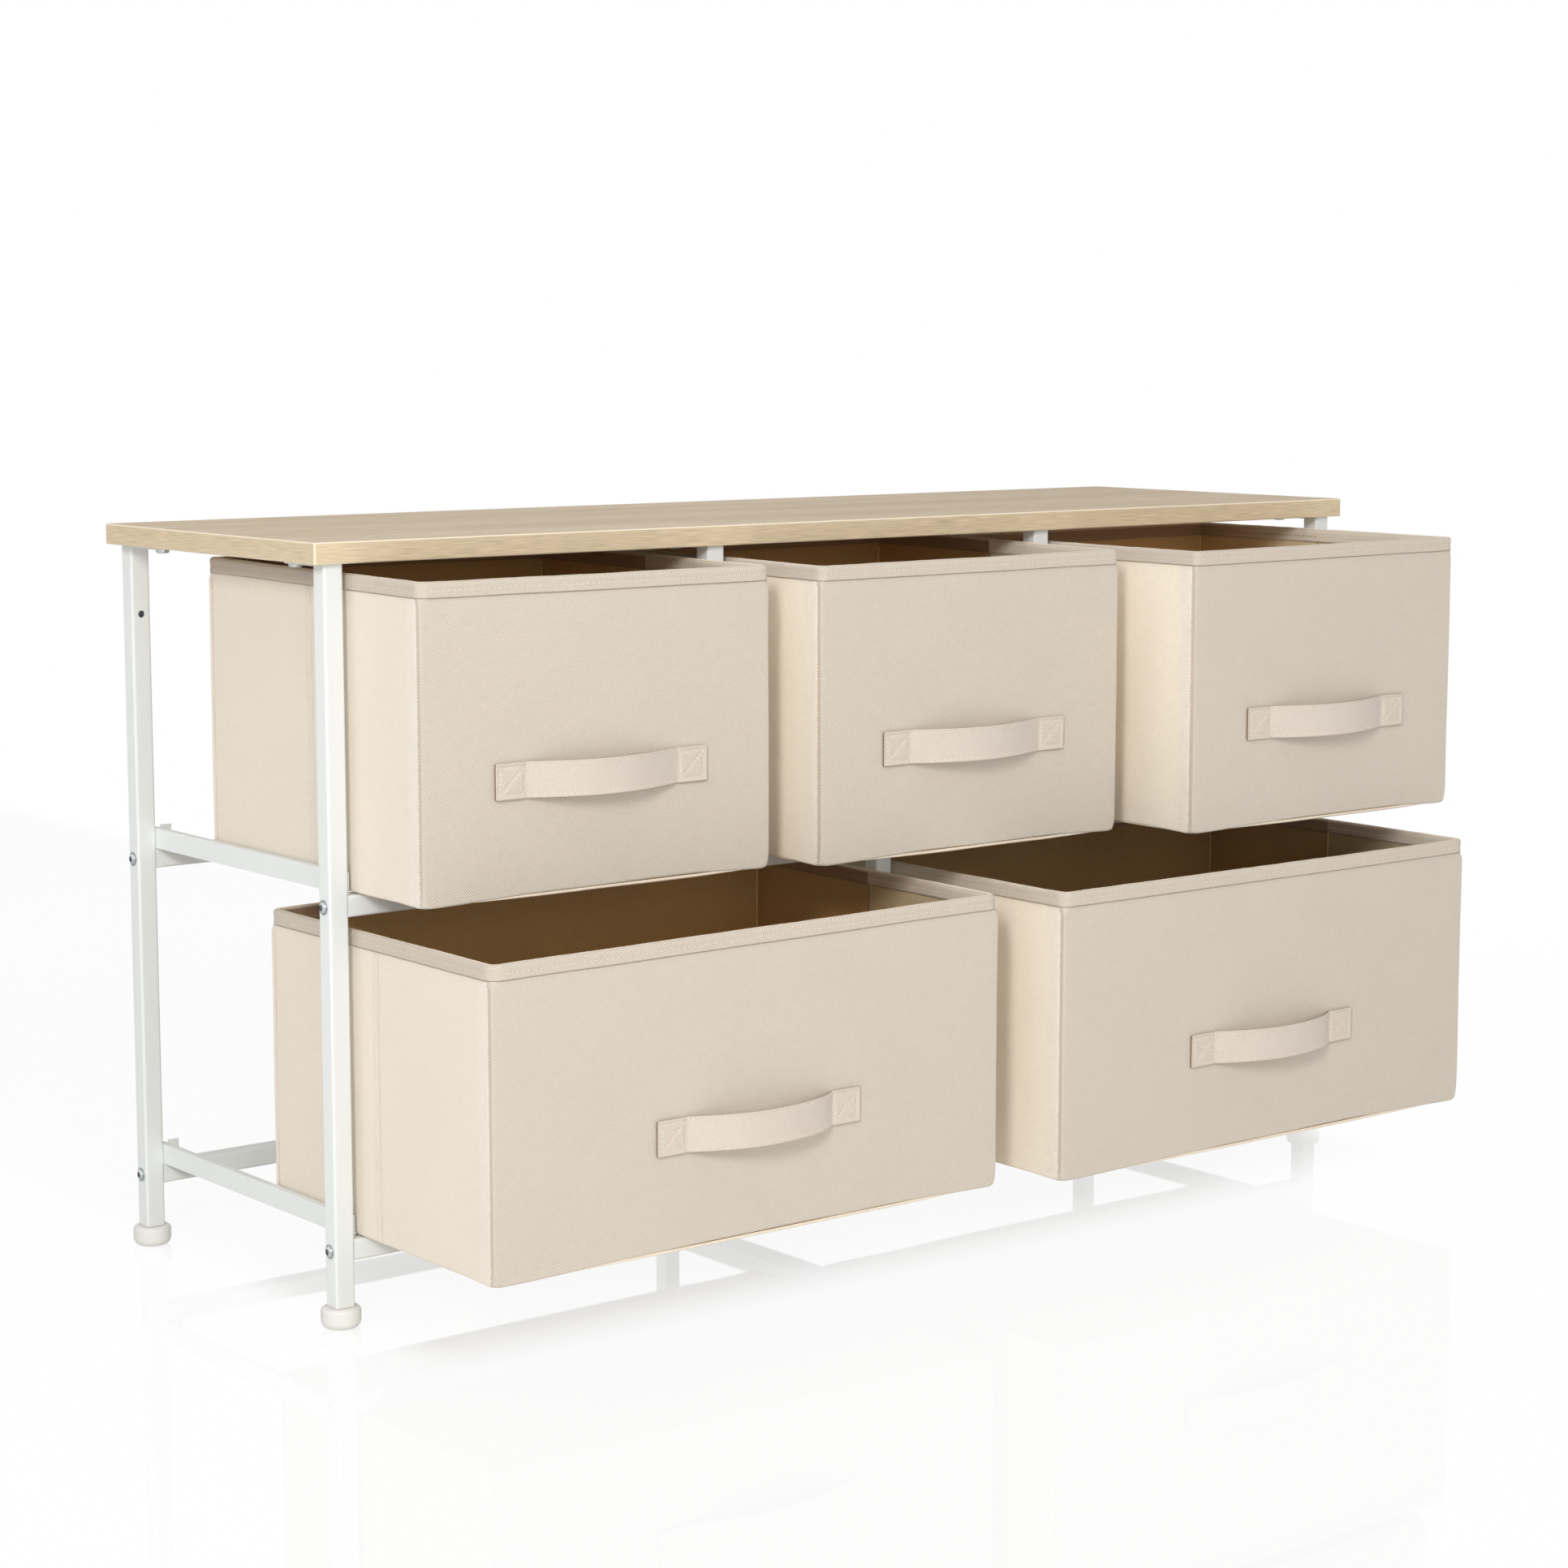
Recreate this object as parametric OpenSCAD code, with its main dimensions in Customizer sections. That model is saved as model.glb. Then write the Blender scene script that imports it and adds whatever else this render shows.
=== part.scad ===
// Fabric drawer dresser: a bolted square-tube frame under a wood top board, with three fabric drawers
// over two wider ones that slide on the frame's rails. Millimetres, +Z up, front towards -Y.
// The origin is on the floor, at the middle of the part's box with the drawers at rest.

/* [Top board] */
// Width of the top board, left to right
board_w = 1000; // [800:10:1400]
// Depth of the top board, front to back
board_d = 300; // [260:5:400]
// Thickness of the top board
board_t = 15; // [14:0.5:30]
// Radius of the board's rounded long and short edges
board_edge_r = 1.2; // [0.4:0.2:4]
// Radius of the board's upright corners
board_corner_r = 2; // [0.5:0.5:10]
// How far the board's ends reach past the legs
board_over_x = 10; // [4:1:40]
// How far the board's front and back edges reach past the legs
board_over_y = 5; // [0:1:10]

/* [Frame] */
// Side of the square tube that the frame is made of
tube = 15; // [14:0.5:20]
// Wall thickness of the tube
tube_wall = 1.2; // [0.8:0.1:1.6]
// Outer corner radius of the tube
tube_r = 2; // [1:0.25:3]
// Height of the top board's underside above the floor
board_z = 528; // [480:1:640]
// Height of the middle rails' top faces, which carry the upper drawers
mid_rail_top = 302; // [270:1:330]
// Height of the lower rails' top faces, which carry the lower drawers
low_rail_top = 62; // [50:1:90]
// Thickness of the flat guide bars beside the drawers
bar_t = 5; // [3:0.5:6]
// Height of the guide bars
bar_h = 15; // [8:1:25]
// Thickness of the rear stop tabs
stop_t = 2; // [1.5:0.5:4]
// Height of the rear stop tabs
stop_h = 17; // [10:1:25]
// Width of the rear stop tabs at the sides and between the upper drawers
stop_w = 8.5; // [6:0.5:14]
// Width of the rear stop tabs at the lower centre post
stop_w_low_centre = 24; // [20:1:40]
// How far the stop tabs' front faces stand behind the back rails' front faces
stop_setback = 1.5; // [0.5:0.5:6]

/* [Feet] */
// Largest diameter of a levelling foot
foot_d = 28; // [24:0.5:36]
// Diameter of the flat face that a foot stands on
foot_base_d = 17; // [12:0.5:20]
// Height of a foot, with the leg insert's flange above it
foot_h = 15; // [12:0.5:24]
// Diameter of a foot's stud
stud_d = 7.8; // [5:0.2:8]
// Length of a foot's stud above the foot
stud_l = 24; // [14:1:30]
// Thickness of the leg insert's flange
insert_flange = 1.5; // [1:0.25:3]
// Depth of the leg insert inside the leg
insert_l = 20; // [12:1:30]
// Gap between a foot and the leg insert's flange
foot_gap = 0.3; // [0.2:0.1:1]
// Clearance round a foot's stud
stud_gap = 0.08; // [0.04:0.01:0.1]

/* [Fasteners] */
// Shank diameter of the frame bolts
bolt_d = 6; // [4:0.5:7]
// Head diameter of the frame bolts, over the flange
bolt_head_d = 10.5; // [9:0.5:13]
// Head height of the frame bolts
bolt_head_h = 3.2; // [2:0.2:5]
// Depth of the frame bolts' threads inside a rail's end nut
bolt_grip = 11; // [6:1:13]
// Length of a rail's end nut
end_nut_l = 14; // [14:1:25]
// Shank diameter of the board screws
screw_d = 4; // [3:0.5:5]
// Head diameter of the board screws
screw_head_d = 10; // [8:0.5:13]
// Head height of the board screws
screw_head_h = 2.8; // [1.8:0.2:4]
// Depth of the board screws inside the board
screw_bite = 10; // [6:1:12]
// Distance from a leg's inner face to its board screw
screw_reach = 35; // [20:1:60]
// Thickness of the board tabs
tab_t = 2; // [1.5:0.25:3]
// Diameter of the wall anchor hole in each back leg
anchor_d = 5.3; // [4:0.1:7]
// Height of the wall anchor holes
anchor_z = 476.7; // [400:1:500]
// Diameter of the locating pins under and over the posts
pin_d = 7.8; // [5:0.2:9]
// Length of a locating pin
pin_l = 5; // [3:0.5:8]
// Depth of a post plug inside the post
plug_l = 12; // [8:1:20]
// Clearance round bolts, screws and locating pins in plain holes
hole_gap = 0.25; // [0.1:0.05:0.5]
// Clearance of threads and plugs inside tubes, nuts and the board
fit_gap = 0.1; // [0.05:0.05:0.2]

/* [Drawers] */
// How far the closed drawers' fronts stand proud of the board's front edge
front_proud = 1.8; // [0:0.2:10]
// Side gap between a drawer and the guide bar on its left
gap_left = 1.4; // [1:0.1:3]
// Side gap on the right of an upper drawer
gap_right_upper = 5.1; // [2:0.1:12]
// Side gap on the right of a lower drawer
gap_right_lower = 18.1; // [2:0.1:20]
// Gap between a drawer's rim and what is above it
headroom = 9.4; // [4:0.2:30]
// Gap between a drawer's underside and its rails
seat_gap = 0.3; // [0.2:0.1:1]
// Gap between a closed drawer's back and the stop tabs
stop_gap = 0.3; // [0.2:0.1:2]
// Thickness of a drawer's padded fabric walls
wall = 4; // [3.5:0.25:8]
// Thickness of the fabric under a drawer
floor_t = 1.5; // [1:0.25:4]
// Radius of a drawer's upright corners
drawer_r = 8; // [6:0.5:20]
// Thickness of the boards inside the walls
stiffener_t = 2.2; // [1.5:0.1:2.4]
// Gap round the boards inside the walls
stiffener_gap = 0.2; // [0.1:0.05:0.3]
// Unstiffened margin beside the corners and above the floor
stiffener_margin = 14; // [8:1:30]
// Width of the soft fold in the middle of a side wall
fold_w = 6; // [3:0.5:15]
// Thickness of the loose board on a drawer's floor
base_board_t = 3; // [2:0.5:8]
// Gap round the loose base board
base_board_gap = 0.8; // [0.3:0.1:2]
// Thickness of the hem binding round a drawer's rim
hem_t = 1; // [0.6:0.1:2]
// Height of the hem binding
hem_h = 11; // [6:0.5:25]

/* [Handles] */
// Length of a handle strap between its ends
strap_l = 178; // [120:1:220]
// Width of a handle strap
strap_w = 25; // [15:1:50]
// Thickness of a handle strap
strap_t = 2; // [1:0.25:4]
// Length of a strap's stitched ends
strap_tab = 26; // [15:1:40]
// How far a strap bows out of the drawer's front
strap_bow = 18.7; // [12:0.1:40]
// Height of a strap's lower edge above the drawer's underside
strap_z = 68.5; // [20:0.5:140]

/* [Drawers at rest] */
// Opening of the upper left drawer
open_upper_left = 78; // [0:1:200]
// Opening of the upper middle drawer
open_upper_middle = 98; // [0:1:200]
// Opening of the upper right drawer
open_upper_right = 150; // [0:1:200]
// Opening of the lower left drawer
open_lower_left = 158; // [0:1:200]
// Opening of the lower right drawer
open_lower_right = 181; // [0:1:200]

/* [Hidden] */

// Colours
WHITE = [0.93, 0.93, 0.91];
OAK = [0.80, 0.72, 0.60];
ZINC = [0.72, 0.73, 0.74];
PLASTIC = [0.92, 0.91, 0.87];
LINEN = [0.86, 0.80, 0.71];
HEM = [0.80, 0.75, 0.67];
MDF = [0.62, 0.50, 0.38];

// Facets of round corners and of round parts
CORNER_FN = 32;
ROUND_FN = 48;
SMALL_FN = 32;

// A cut reaches this far past the face that it opens
cut = 1;

// Frame: leg centres, inner faces and rail heights
leg_x = board_w / 2 - board_over_x - tube / 2;
leg_y = board_d / 2 - board_over_y - tube / 2;
inner_x = leg_x - tube / 2;
tube_bore = tube - 2 * tube_wall;
leg_z = foot_h + insert_flange;
rail_tops = [low_rail_top, mid_rail_top];
rail_mids = [for (top = rail_tops) top - tube / 2];

// Upper posts stand so that the three upper bays are equally wide
bay_upper = (2 * inner_x - 2 * tube) / 3;
post_x = bay_upper / 2 + tube / 2;

// Stop tabs' front faces
stop_y = leg_y - tube / 2 + stop_setback;

// Drawers: one row per drawer is [left, width, floor height, height, opening]
drawer_back = stop_y - stop_gap;
drawer_front = -board_d / 2 - front_proud;
drawer_d = drawer_back - drawer_front;
upper_z = mid_rail_top + seat_gap;
lower_z = low_rail_top + seat_gap;
upper_h = board_z - headroom - upper_z;
lower_h = mid_rail_top - tube - headroom - lower_z;
upper_w = bay_upper - 2 * bar_t - gap_left - gap_right_upper;
lower_w = inner_x - tube / 2 - 2 * bar_t - gap_left - gap_right_lower;
side_left = -inner_x + bar_t + gap_left;
upper_pitch = bay_upper + tube;
lower_pitch = inner_x + tube / 2;
UPPER_LEFT = [side_left, upper_w, upper_z, upper_h, open_upper_left];
UPPER_MIDDLE = [side_left + upper_pitch, upper_w, upper_z, upper_h, open_upper_middle];
UPPER_RIGHT = [side_left + 2 * upper_pitch, upper_w, upper_z, upper_h, open_upper_right];
LOWER_LEFT = [side_left, lower_w, lower_z, lower_h, open_lower_left];
LOWER_RIGHT = [side_left + lower_pitch, lower_w, lower_z, lower_h, open_lower_right];
openings = [open_upper_left, open_upper_middle, open_upper_right, open_lower_left, open_lower_right];

// The part is shifted back by this much, so that the middle of its box is over the origin
front_reach = -drawer_front + max(openings) + strap_bow;
back_reach = max(board_d / 2, leg_y + foot_d / 2);
rest_shift = (front_reach - back_reach) / 2;

// ---- Shapes that repeat ----

// Rectangle with round corners, its lower left corner at the origin
module round_rect(w, h, r) {
    translate([r, 0]) square([w - 2 * r, h]);
    translate([0, r]) square([w, h - 2 * r]);
    for (x = [r, w - r], y = [r, h - r])
        translate([x, y]) circle(r, $fn = CORNER_FN);
}

// The same rectangle, centred on the origin
module round_rect_centred(w, h, r) {
    translate([-w / 2, -h / 2]) round_rect(w, h, r);
}

// Section of the square tube
module tube_section() {
    difference() {
        round_rect_centred(tube, tube, tube_r);
        round_rect_centred(tube_bore, tube_bore, max(tube_r - tube_wall, 0.2));
    }
}

// Section of a plug that fits inside the tube
module plug_section() {
    side = tube_bore - 2 * fit_gap;
    round_rect_centred(side, side, max(tube_r - tube_wall, 0.2) + fit_gap);
}

// Upright tube from z1 to z2
module upright(x, y, z1, z2) {
    translate([x, y, z1]) linear_extrude(z2 - z1) tube_section();
}

// Pan head with a cross recess, its flat face at z = 0 and its dome below
module pan_head(d, h) {
    edge = h * 0.6;
    recess = d * 0.5;
    slot = d * 0.11;
    difference() {
        rotate_extrude($fn = SMALL_FN) {
            translate([0, -h]) square([d / 2 - edge, h]);
            translate([0, edge - h]) square([d / 2, h - edge]);
            intersection() {
                translate([d / 2 - edge, edge - h]) circle(edge, $fn = CORNER_FN);
                translate([0, -h]) square([d / 2, h]);
            }
        }
        for (turn = [0, 90])
            rotate([0, 0, turn]) translate([-recess / 2, -slot / 2, -h - cut]) cube([recess, slot, h * 0.5 + cut]);
    }
}

// Button head on a thin flange, with a hexagon socket; its flat face is at z = 0 and its dome below
module button_head(d, h) {
    flange = h * 0.28;
    dome_r = d * 0.39;
    rise = h - flange;
    arc_r = (dome_r * dome_r + rise * rise) / (2 * rise);
    socket = d * 0.36;
    difference() {
        rotate_extrude($fn = SMALL_FN) {
            translate([0, -flange]) square([d / 2, flange]);
            intersection() {
                translate([0, arc_r - h]) circle(arc_r, $fn = SMALL_FN);
                translate([0, -h]) square([dome_r, h]);
            }
        }
        translate([0, 0, -h - cut]) cylinder(d = socket / cos(30), h = h * 0.6 + cut, $fn = 6);
    }
}

// Bolt that points up from its button head, which hangs below z = 0
module button_bolt(head_d, head_h, shank_d, shank_l) {
    union() {
        button_head(head_d, head_h);
        cylinder(d = shank_d, h = shank_l, $fn = SMALL_FN);
    }
}

// Screw that points up from its pan head, which hangs below z = 0
module pan_screw(head_d, head_h, shank_d, shank_l) {
    union() {
        pan_head(head_d, head_h);
        cylinder(d = shank_d, h = shank_l, $fn = SMALL_FN);
    }
}

// ---- Top board ----

module top_board() {
    color(OAK) difference() {
        intersection() {
            translate([0, 0, board_z]) linear_extrude(board_t)
                round_rect_centred(board_w, board_d, board_corner_r);
            translate([0, board_d / 2, board_z + board_t / 2]) rotate([90, 0, 0]) linear_extrude(board_d)
                round_rect_centred(board_w, board_t, board_edge_r);
            translate([-board_w / 2, 0, board_z + board_t / 2]) rotate([90, 0, 90]) linear_extrude(board_w)
                round_rect_centred(board_d, board_t, board_edge_r);
        }
        at_board_screws() translate([0, 0, tab_t - cut])
            cylinder(d = screw_d + 2 * fit_gap, h = screw_bite + 1 + cut, $fn = SMALL_FN);
    }
}

// ---- Legs and feet ----

// A leg with its two bolt holes, and a wall anchor hole where it has one
module leg(x, y, anchor = false) {
    color(WHITE) difference() {
        upright(x, y, leg_z, board_z);
        for (z = rail_mids)
            translate([x - tube / 2 - cut, y, z]) rotate([0, 90, 0])
                cylinder(d = bolt_d + 2 * hole_gap, h = tube + 2 * cut, $fn = SMALL_FN);
        if (anchor)
            translate([x, y - tube / 2 - cut, anchor_z]) rotate([-90, 0, 0])
                cylinder(d = anchor_d, h = tube + 2 * cut, $fn = SMALL_FN);
    }
}

module leg_front_left() { leg(-leg_x, -leg_y); }
module leg_front_right() { leg(leg_x, -leg_y); }
module leg_back_left() { leg(-leg_x, leg_y, anchor = true); }
module leg_back_right() { leg(leg_x, leg_y, anchor = true); }

// Plastic inserts in the legs' lower ends, which the feet screw into
module leg_inserts() {
    color(PLASTIC) for (x = [-leg_x, leg_x], y = [-leg_y, leg_y])
        translate([x, y, foot_h]) difference() {
            union() {
                linear_extrude(insert_flange) round_rect_centred(tube, tube, tube_r);
                linear_extrude(insert_flange + insert_l) plug_section();
            }
            translate([0, 0, -cut])
                cylinder(d = stud_d + 2 * stud_gap, h = insert_flange + insert_l + 2 * cut, $fn = ROUND_FN);
        }
}

// Barrel-shaped levelling foot, moulded on its stud
module foot(x, y) {
    top = foot_h - foot_gap;
    base_r = (foot_d - foot_base_d) / 2;
    rim_r = min(3, top - base_r);
    color(PLASTIC) translate([x, y, 0]) {
        rotate_extrude($fn = ROUND_FN) {
            square([foot_base_d / 2, top]);
            translate([0, base_r]) square([foot_d / 2, top - base_r - rim_r]);
            translate([0, base_r]) square([foot_d / 2 - rim_r, top - base_r]);
            intersection() {
                translate([foot_base_d / 2, base_r]) circle(base_r, $fn = ROUND_FN);
                square([foot_d, top]);
            }
            intersection() {
                translate([foot_d / 2 - rim_r, top - rim_r]) circle(rim_r, $fn = ROUND_FN);
                square([foot_d, top]);
            }
        }
        cylinder(d = stud_d, h = top + stud_l, $fn = ROUND_FN);
    }
}

module foot_front_left() { foot(-leg_x, -leg_y); }
module foot_front_right() { foot(leg_x, -leg_y); }
module foot_back_left() { foot(-leg_x, leg_y); }
module foot_back_right() { foot(leg_x, leg_y); }

// ---- Long rails ----

// A rail between two legs, with holes for the post pins at pins_above and pins_below
module rail(y, top, pins_above, pins_below) {
    pin_hole = pin_d + 2 * hole_gap;
    color(WHITE) difference() {
        translate([-inner_x, y, top - tube / 2]) rotate([90, 0, 90]) linear_extrude(2 * inner_x) tube_section();
        for (x = pins_above)
            translate([x, y, top - tube / 2]) cylinder(d = pin_hole, h = tube, $fn = SMALL_FN);
        for (x = pins_below)
            translate([x, y, top - 1.5 * tube]) cylinder(d = pin_hole, h = tube, $fn = SMALL_FN);
    }
}

module rail_front_lower() { rail(-leg_y, low_rail_top, [0], []); }
module rail_front_middle() { rail(-leg_y, mid_rail_top, [-post_x, post_x], [0]); }
module rail_back_lower() { rail(leg_y, low_rail_top, [0], []); }
module rail_back_middle() { rail(leg_y, mid_rail_top, [-post_x, post_x], [0]); }

// ---- Posts ----

module post_lower(y) { color(WHITE) upright(0, y, low_rail_top, mid_rail_top - tube); }
module post_upper(x, y) { color(WHITE) upright(x, y, mid_rail_top, board_z); }

module post_lower_front() { post_lower(-leg_y); }
module post_lower_back() { post_lower(leg_y); }
module post_upper_left_front() { post_upper(-post_x, -leg_y); }
module post_upper_left_back() { post_upper(-post_x, leg_y); }
module post_upper_right_front() { post_upper(post_x, -leg_y); }
module post_upper_right_back() { post_upper(post_x, leg_y); }

// Plug inside a post's end, with its locating pin pointing along -Z from z = 0
module post_plug() {
    linear_extrude(plug_l) plug_section();
    translate([0, 0, -pin_l]) cylinder(d = pin_d, h = pin_l + plug_l / 2, $fn = SMALL_FN);
}

module post_plugs() {
    color(PLASTIC) for (y = [-leg_y, leg_y]) {
        translate([0, y, low_rail_top]) post_plug();
        translate([0, y, mid_rail_top - tube]) mirror([0, 0, 1]) post_plug();
        for (x = [-post_x, post_x])
            translate([x, y, mid_rail_top]) post_plug();
    }
}

// ---- Guide bars and stops ----

// Flat bar from front to back on a level's rails; x is its left face
module guide_bar(x, top) {
    color(WHITE) translate([x, -leg_y, top]) cube([bar_t, 2 * leg_y, bar_h]);
}

// Bars on both sides of a row of posts
module guide_pair(x, top) {
    guide_bar(x - tube / 2 - bar_t, top);
    guide_bar(x + tube / 2, top);
}

module guide_left_lower() { guide_bar(-inner_x, low_rail_top); }
module guide_left_middle() { guide_bar(-inner_x, mid_rail_top); }
module guide_right_lower() { guide_bar(inner_x - bar_t, low_rail_top); }
module guide_right_middle() { guide_bar(inner_x - bar_t, mid_rail_top); }
module guides_lower_centre() { guide_pair(0, low_rail_top); }
module guides_upper_left() { guide_pair(-post_x, mid_rail_top); }
module guides_upper_right() { guide_pair(post_x, mid_rail_top); }

// Pair of stop tabs that face a bay from x_left to x_right, between its guide bars
module stop_pair(x_left, x_right, w_left, w_right, top) {
    translate([x_left, stop_y, top]) cube([w_left, stop_t, stop_h]);
    translate([x_right - w_right, stop_y, top]) cube([w_right, stop_t, stop_h]);
}

module rear_stop_tabs() {
    low_side = inner_x - bar_t;
    low_centre = tube / 2 + bar_t;
    half_bay = bay_upper / 2 - bar_t;
    color(WHITE) {
        stop_pair(-low_side, -low_centre, stop_w, stop_w_low_centre, low_rail_top);
        stop_pair(low_centre, low_side, stop_w_low_centre, stop_w, low_rail_top);
        for (x = [-upper_pitch, 0, upper_pitch])
            stop_pair(x - half_bay, x + half_bay, stop_w, stop_w, mid_rail_top);
    }
}

// ---- Board tabs and fasteners ----

// Places something at each board screw, on the board tabs' undersides, turned towards its leg or post
module at_board_screws() {
    for (x = [-leg_x, -post_x, post_x, leg_x], side = [-1, 1])
        translate([x, side * (leg_y - tube / 2 - screw_reach), board_z - tab_t])
            rotate([0, 0, side * 90]) children();
}

module board_tabs() {
    color(WHITE) at_board_screws() linear_extrude(tab_t) difference() {
        union() {
            circle(tube / 2, $fn = CORNER_FN);
            translate([0, -tube / 2]) square([screw_reach, tube]);
        }
        circle(screw_d / 2 + hole_gap, $fn = SMALL_FN);
    }
}

module board_screws() {
    color(ZINC) at_board_screws() pan_screw(screw_head_d, screw_head_h, screw_d, tab_t + screw_bite);
}

// Places something at each end of each rail, on the leg's outer face, its +Z pointing into the rail
module at_rail_ends() {
    for (side = [-1, 1], y = [-leg_y, leg_y], z = rail_mids)
        translate([side * (leg_x + tube / 2), y, z]) rotate([0, -side * 90, 0]) children();
}

module frame_bolts() {
    color(ZINC) at_rail_ends() button_bolt(bolt_head_d, bolt_head_h, bolt_d, tube + bolt_grip);
}

// Threaded nuts pressed into the rails' ends
module rail_end_nuts() {
    color(ZINC) at_rail_ends() translate([0, 0, tube]) difference() {
        linear_extrude(end_nut_l) plug_section();
        translate([0, 0, -cut])
            cylinder(d = bolt_d + 2 * fit_gap, h = end_nut_l + 2 * cut, $fn = SMALL_FN);
    }
}

// ---- Drawers ----

// Puts something in a drawer's own place: its lower front left corner at the origin
module at_drawer(row) {
    translate([row[0], drawer_front - row[4], row[2]]) children();
}

// Upright slots in the walls for the stiffening boards; grow makes them larger than the boards
module wall_slots(w, h, grow) {
    t = stiffener_t + 2 * grow;
    inset = (wall - t) / 2;
    low = floor_t + 1 - grow;
    high = h - hem_t - low;
    half = (drawer_d - fold_w) / 2 - stiffener_margin;
    for (y = [inset, drawer_d - wall + inset])
        translate([stiffener_margin - grow, y, low]) cube([w - 2 * (stiffener_margin - grow), t, high]);
    for (x = [inset, w - wall + inset], y = [stiffener_margin, (drawer_d + fold_w) / 2])
        translate([x, y - grow, low]) cube([t, half + 2 * grow, high]);
}

// Fabric shell: floor, four walls with round corners, and slots that the hem closes
module fabric_shell(row) {
    w = row[1];
    h = row[3];
    color(LINEN) at_drawer(row) difference() {
        linear_extrude(h - hem_t) round_rect(w, drawer_d, drawer_r);
        translate([wall, wall, floor_t]) linear_extrude(h)
            round_rect(w - 2 * wall, drawer_d - 2 * wall, drawer_r - wall);
        wall_slots(w, h + cut, stiffener_gap);
    }
}

// Boards inside the walls: one in front, one behind, and two on each folding side
module wall_stiffeners(row) {
    color(MDF) at_drawer(row) wall_slots(row[1], row[3] - stiffener_gap, 0);
}

// Loose board that stiffens the floor
module base_board(row) {
    edge = wall + base_board_gap;
    color(MDF) at_drawer(row) translate([edge, edge, floor_t]) linear_extrude(base_board_t)
        round_rect(row[1] - 2 * edge, drawer_d - 2 * edge, drawer_r - wall);
}

// Binding folded over the rim
module hem(row) {
    w = row[1];
    h = row[3];
    lip = wall + hem_t;
    color(HEM) at_drawer(row) difference() {
        translate([-hem_t, -hem_t, h - hem_h]) linear_extrude(hem_h)
            round_rect(w + 2 * hem_t, drawer_d + 2 * hem_t, drawer_r + hem_t);
        translate([lip, lip, h - hem_h - cut]) linear_extrude(hem_h + 2 * cut)
            round_rect(w - 2 * lip, drawer_d - 2 * lip, drawer_r - lip);
        translate([0, 0, h - hem_h - cut]) linear_extrude(hem_h - hem_t + cut) difference() {
            round_rect(w, drawer_d, drawer_r);
            translate([wall, wall]) round_rect(w - 2 * wall, drawer_d - 2 * wall, drawer_r - wall);
        }
    }
}

// Bow of a strap at a share of its half span, from 0 in the middle to 1 at its stitched ends
function strap_out(share) = (strap_bow - strap_t) * (1 - pow(abs(share), 2.4));

// Webbing strap whose ends are stitched flat on the front
module handle(row) {
    span = strap_l / 2 - strap_tab;
    steps = 12;
    bow = [for (i = [-steps : steps]) [i / steps * span, -strap_out(i / steps)]];
    inner = concat([[-strap_l / 2, 0]], bow, [[strap_l / 2, 0]]);
    outer = [for (p = inner) p - [0, strap_t]];
    color(HEM) at_drawer(row) translate([row[1] / 2, 0, strap_z]) linear_extrude(strap_w)
        polygon(concat(inner, [for (i = [len(outer) - 1 : -1 : 0]) outer[i]]));
}

module drawer_upper_left() { fabric_shell(UPPER_LEFT); }
module stiffeners_upper_left() { wall_stiffeners(UPPER_LEFT); }
module base_board_upper_left() { base_board(UPPER_LEFT); }
module hem_upper_left() { hem(UPPER_LEFT); }
module handle_upper_left() { handle(UPPER_LEFT); }

module drawer_upper_middle() { fabric_shell(UPPER_MIDDLE); }
module stiffeners_upper_middle() { wall_stiffeners(UPPER_MIDDLE); }
module base_board_upper_middle() { base_board(UPPER_MIDDLE); }
module hem_upper_middle() { hem(UPPER_MIDDLE); }
module handle_upper_middle() { handle(UPPER_MIDDLE); }

module drawer_upper_right() { fabric_shell(UPPER_RIGHT); }
module stiffeners_upper_right() { wall_stiffeners(UPPER_RIGHT); }
module base_board_upper_right() { base_board(UPPER_RIGHT); }
module hem_upper_right() { hem(UPPER_RIGHT); }
module handle_upper_right() { handle(UPPER_RIGHT); }

module drawer_lower_left() { fabric_shell(LOWER_LEFT); }
module stiffeners_lower_left() { wall_stiffeners(LOWER_LEFT); }
module base_board_lower_left() { base_board(LOWER_LEFT); }
module hem_lower_left() { hem(LOWER_LEFT); }
module handle_lower_left() { handle(LOWER_LEFT); }

module drawer_lower_right() { fabric_shell(LOWER_RIGHT); }
module stiffeners_lower_right() { wall_stiffeners(LOWER_RIGHT); }
module base_board_lower_right() { base_board(LOWER_RIGHT); }
module hem_lower_right() { hem(LOWER_RIGHT); }
module handle_lower_right() { handle(LOWER_RIGHT); }

// Brings a piece from the frame's own place to the part's origin
module placed() { translate([0, rest_shift, 0]) children(); }

placed() top_board();
placed() leg_front_left();
placed() leg_front_right();
placed() leg_back_left();
placed() leg_back_right();
placed() leg_inserts();
placed() foot_front_left();
placed() foot_front_right();
placed() foot_back_left();
placed() foot_back_right();
placed() rail_front_lower();
placed() rail_front_middle();
placed() rail_back_lower();
placed() rail_back_middle();
placed() post_lower_front();
placed() post_lower_back();
placed() post_upper_left_front();
placed() post_upper_left_back();
placed() post_upper_right_front();
placed() post_upper_right_back();
placed() post_plugs();
placed() guide_left_lower();
placed() guide_left_middle();
placed() guide_right_lower();
placed() guide_right_middle();
placed() guides_lower_centre();
placed() guides_upper_left();
placed() guides_upper_right();
placed() rear_stop_tabs();
placed() board_tabs();
placed() frame_bolts();
placed() rail_end_nuts();
placed() board_screws();
placed() drawer_upper_left();
placed() stiffeners_upper_left();
placed() base_board_upper_left();
placed() hem_upper_left();
placed() handle_upper_left();
placed() drawer_upper_middle();
placed() stiffeners_upper_middle();
placed() base_board_upper_middle();
placed() hem_upper_middle();
placed() handle_upper_middle();
placed() drawer_upper_right();
placed() stiffeners_upper_right();
placed() base_board_upper_right();
placed() hem_upper_right();
placed() handle_upper_right();
placed() drawer_lower_left();
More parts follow.
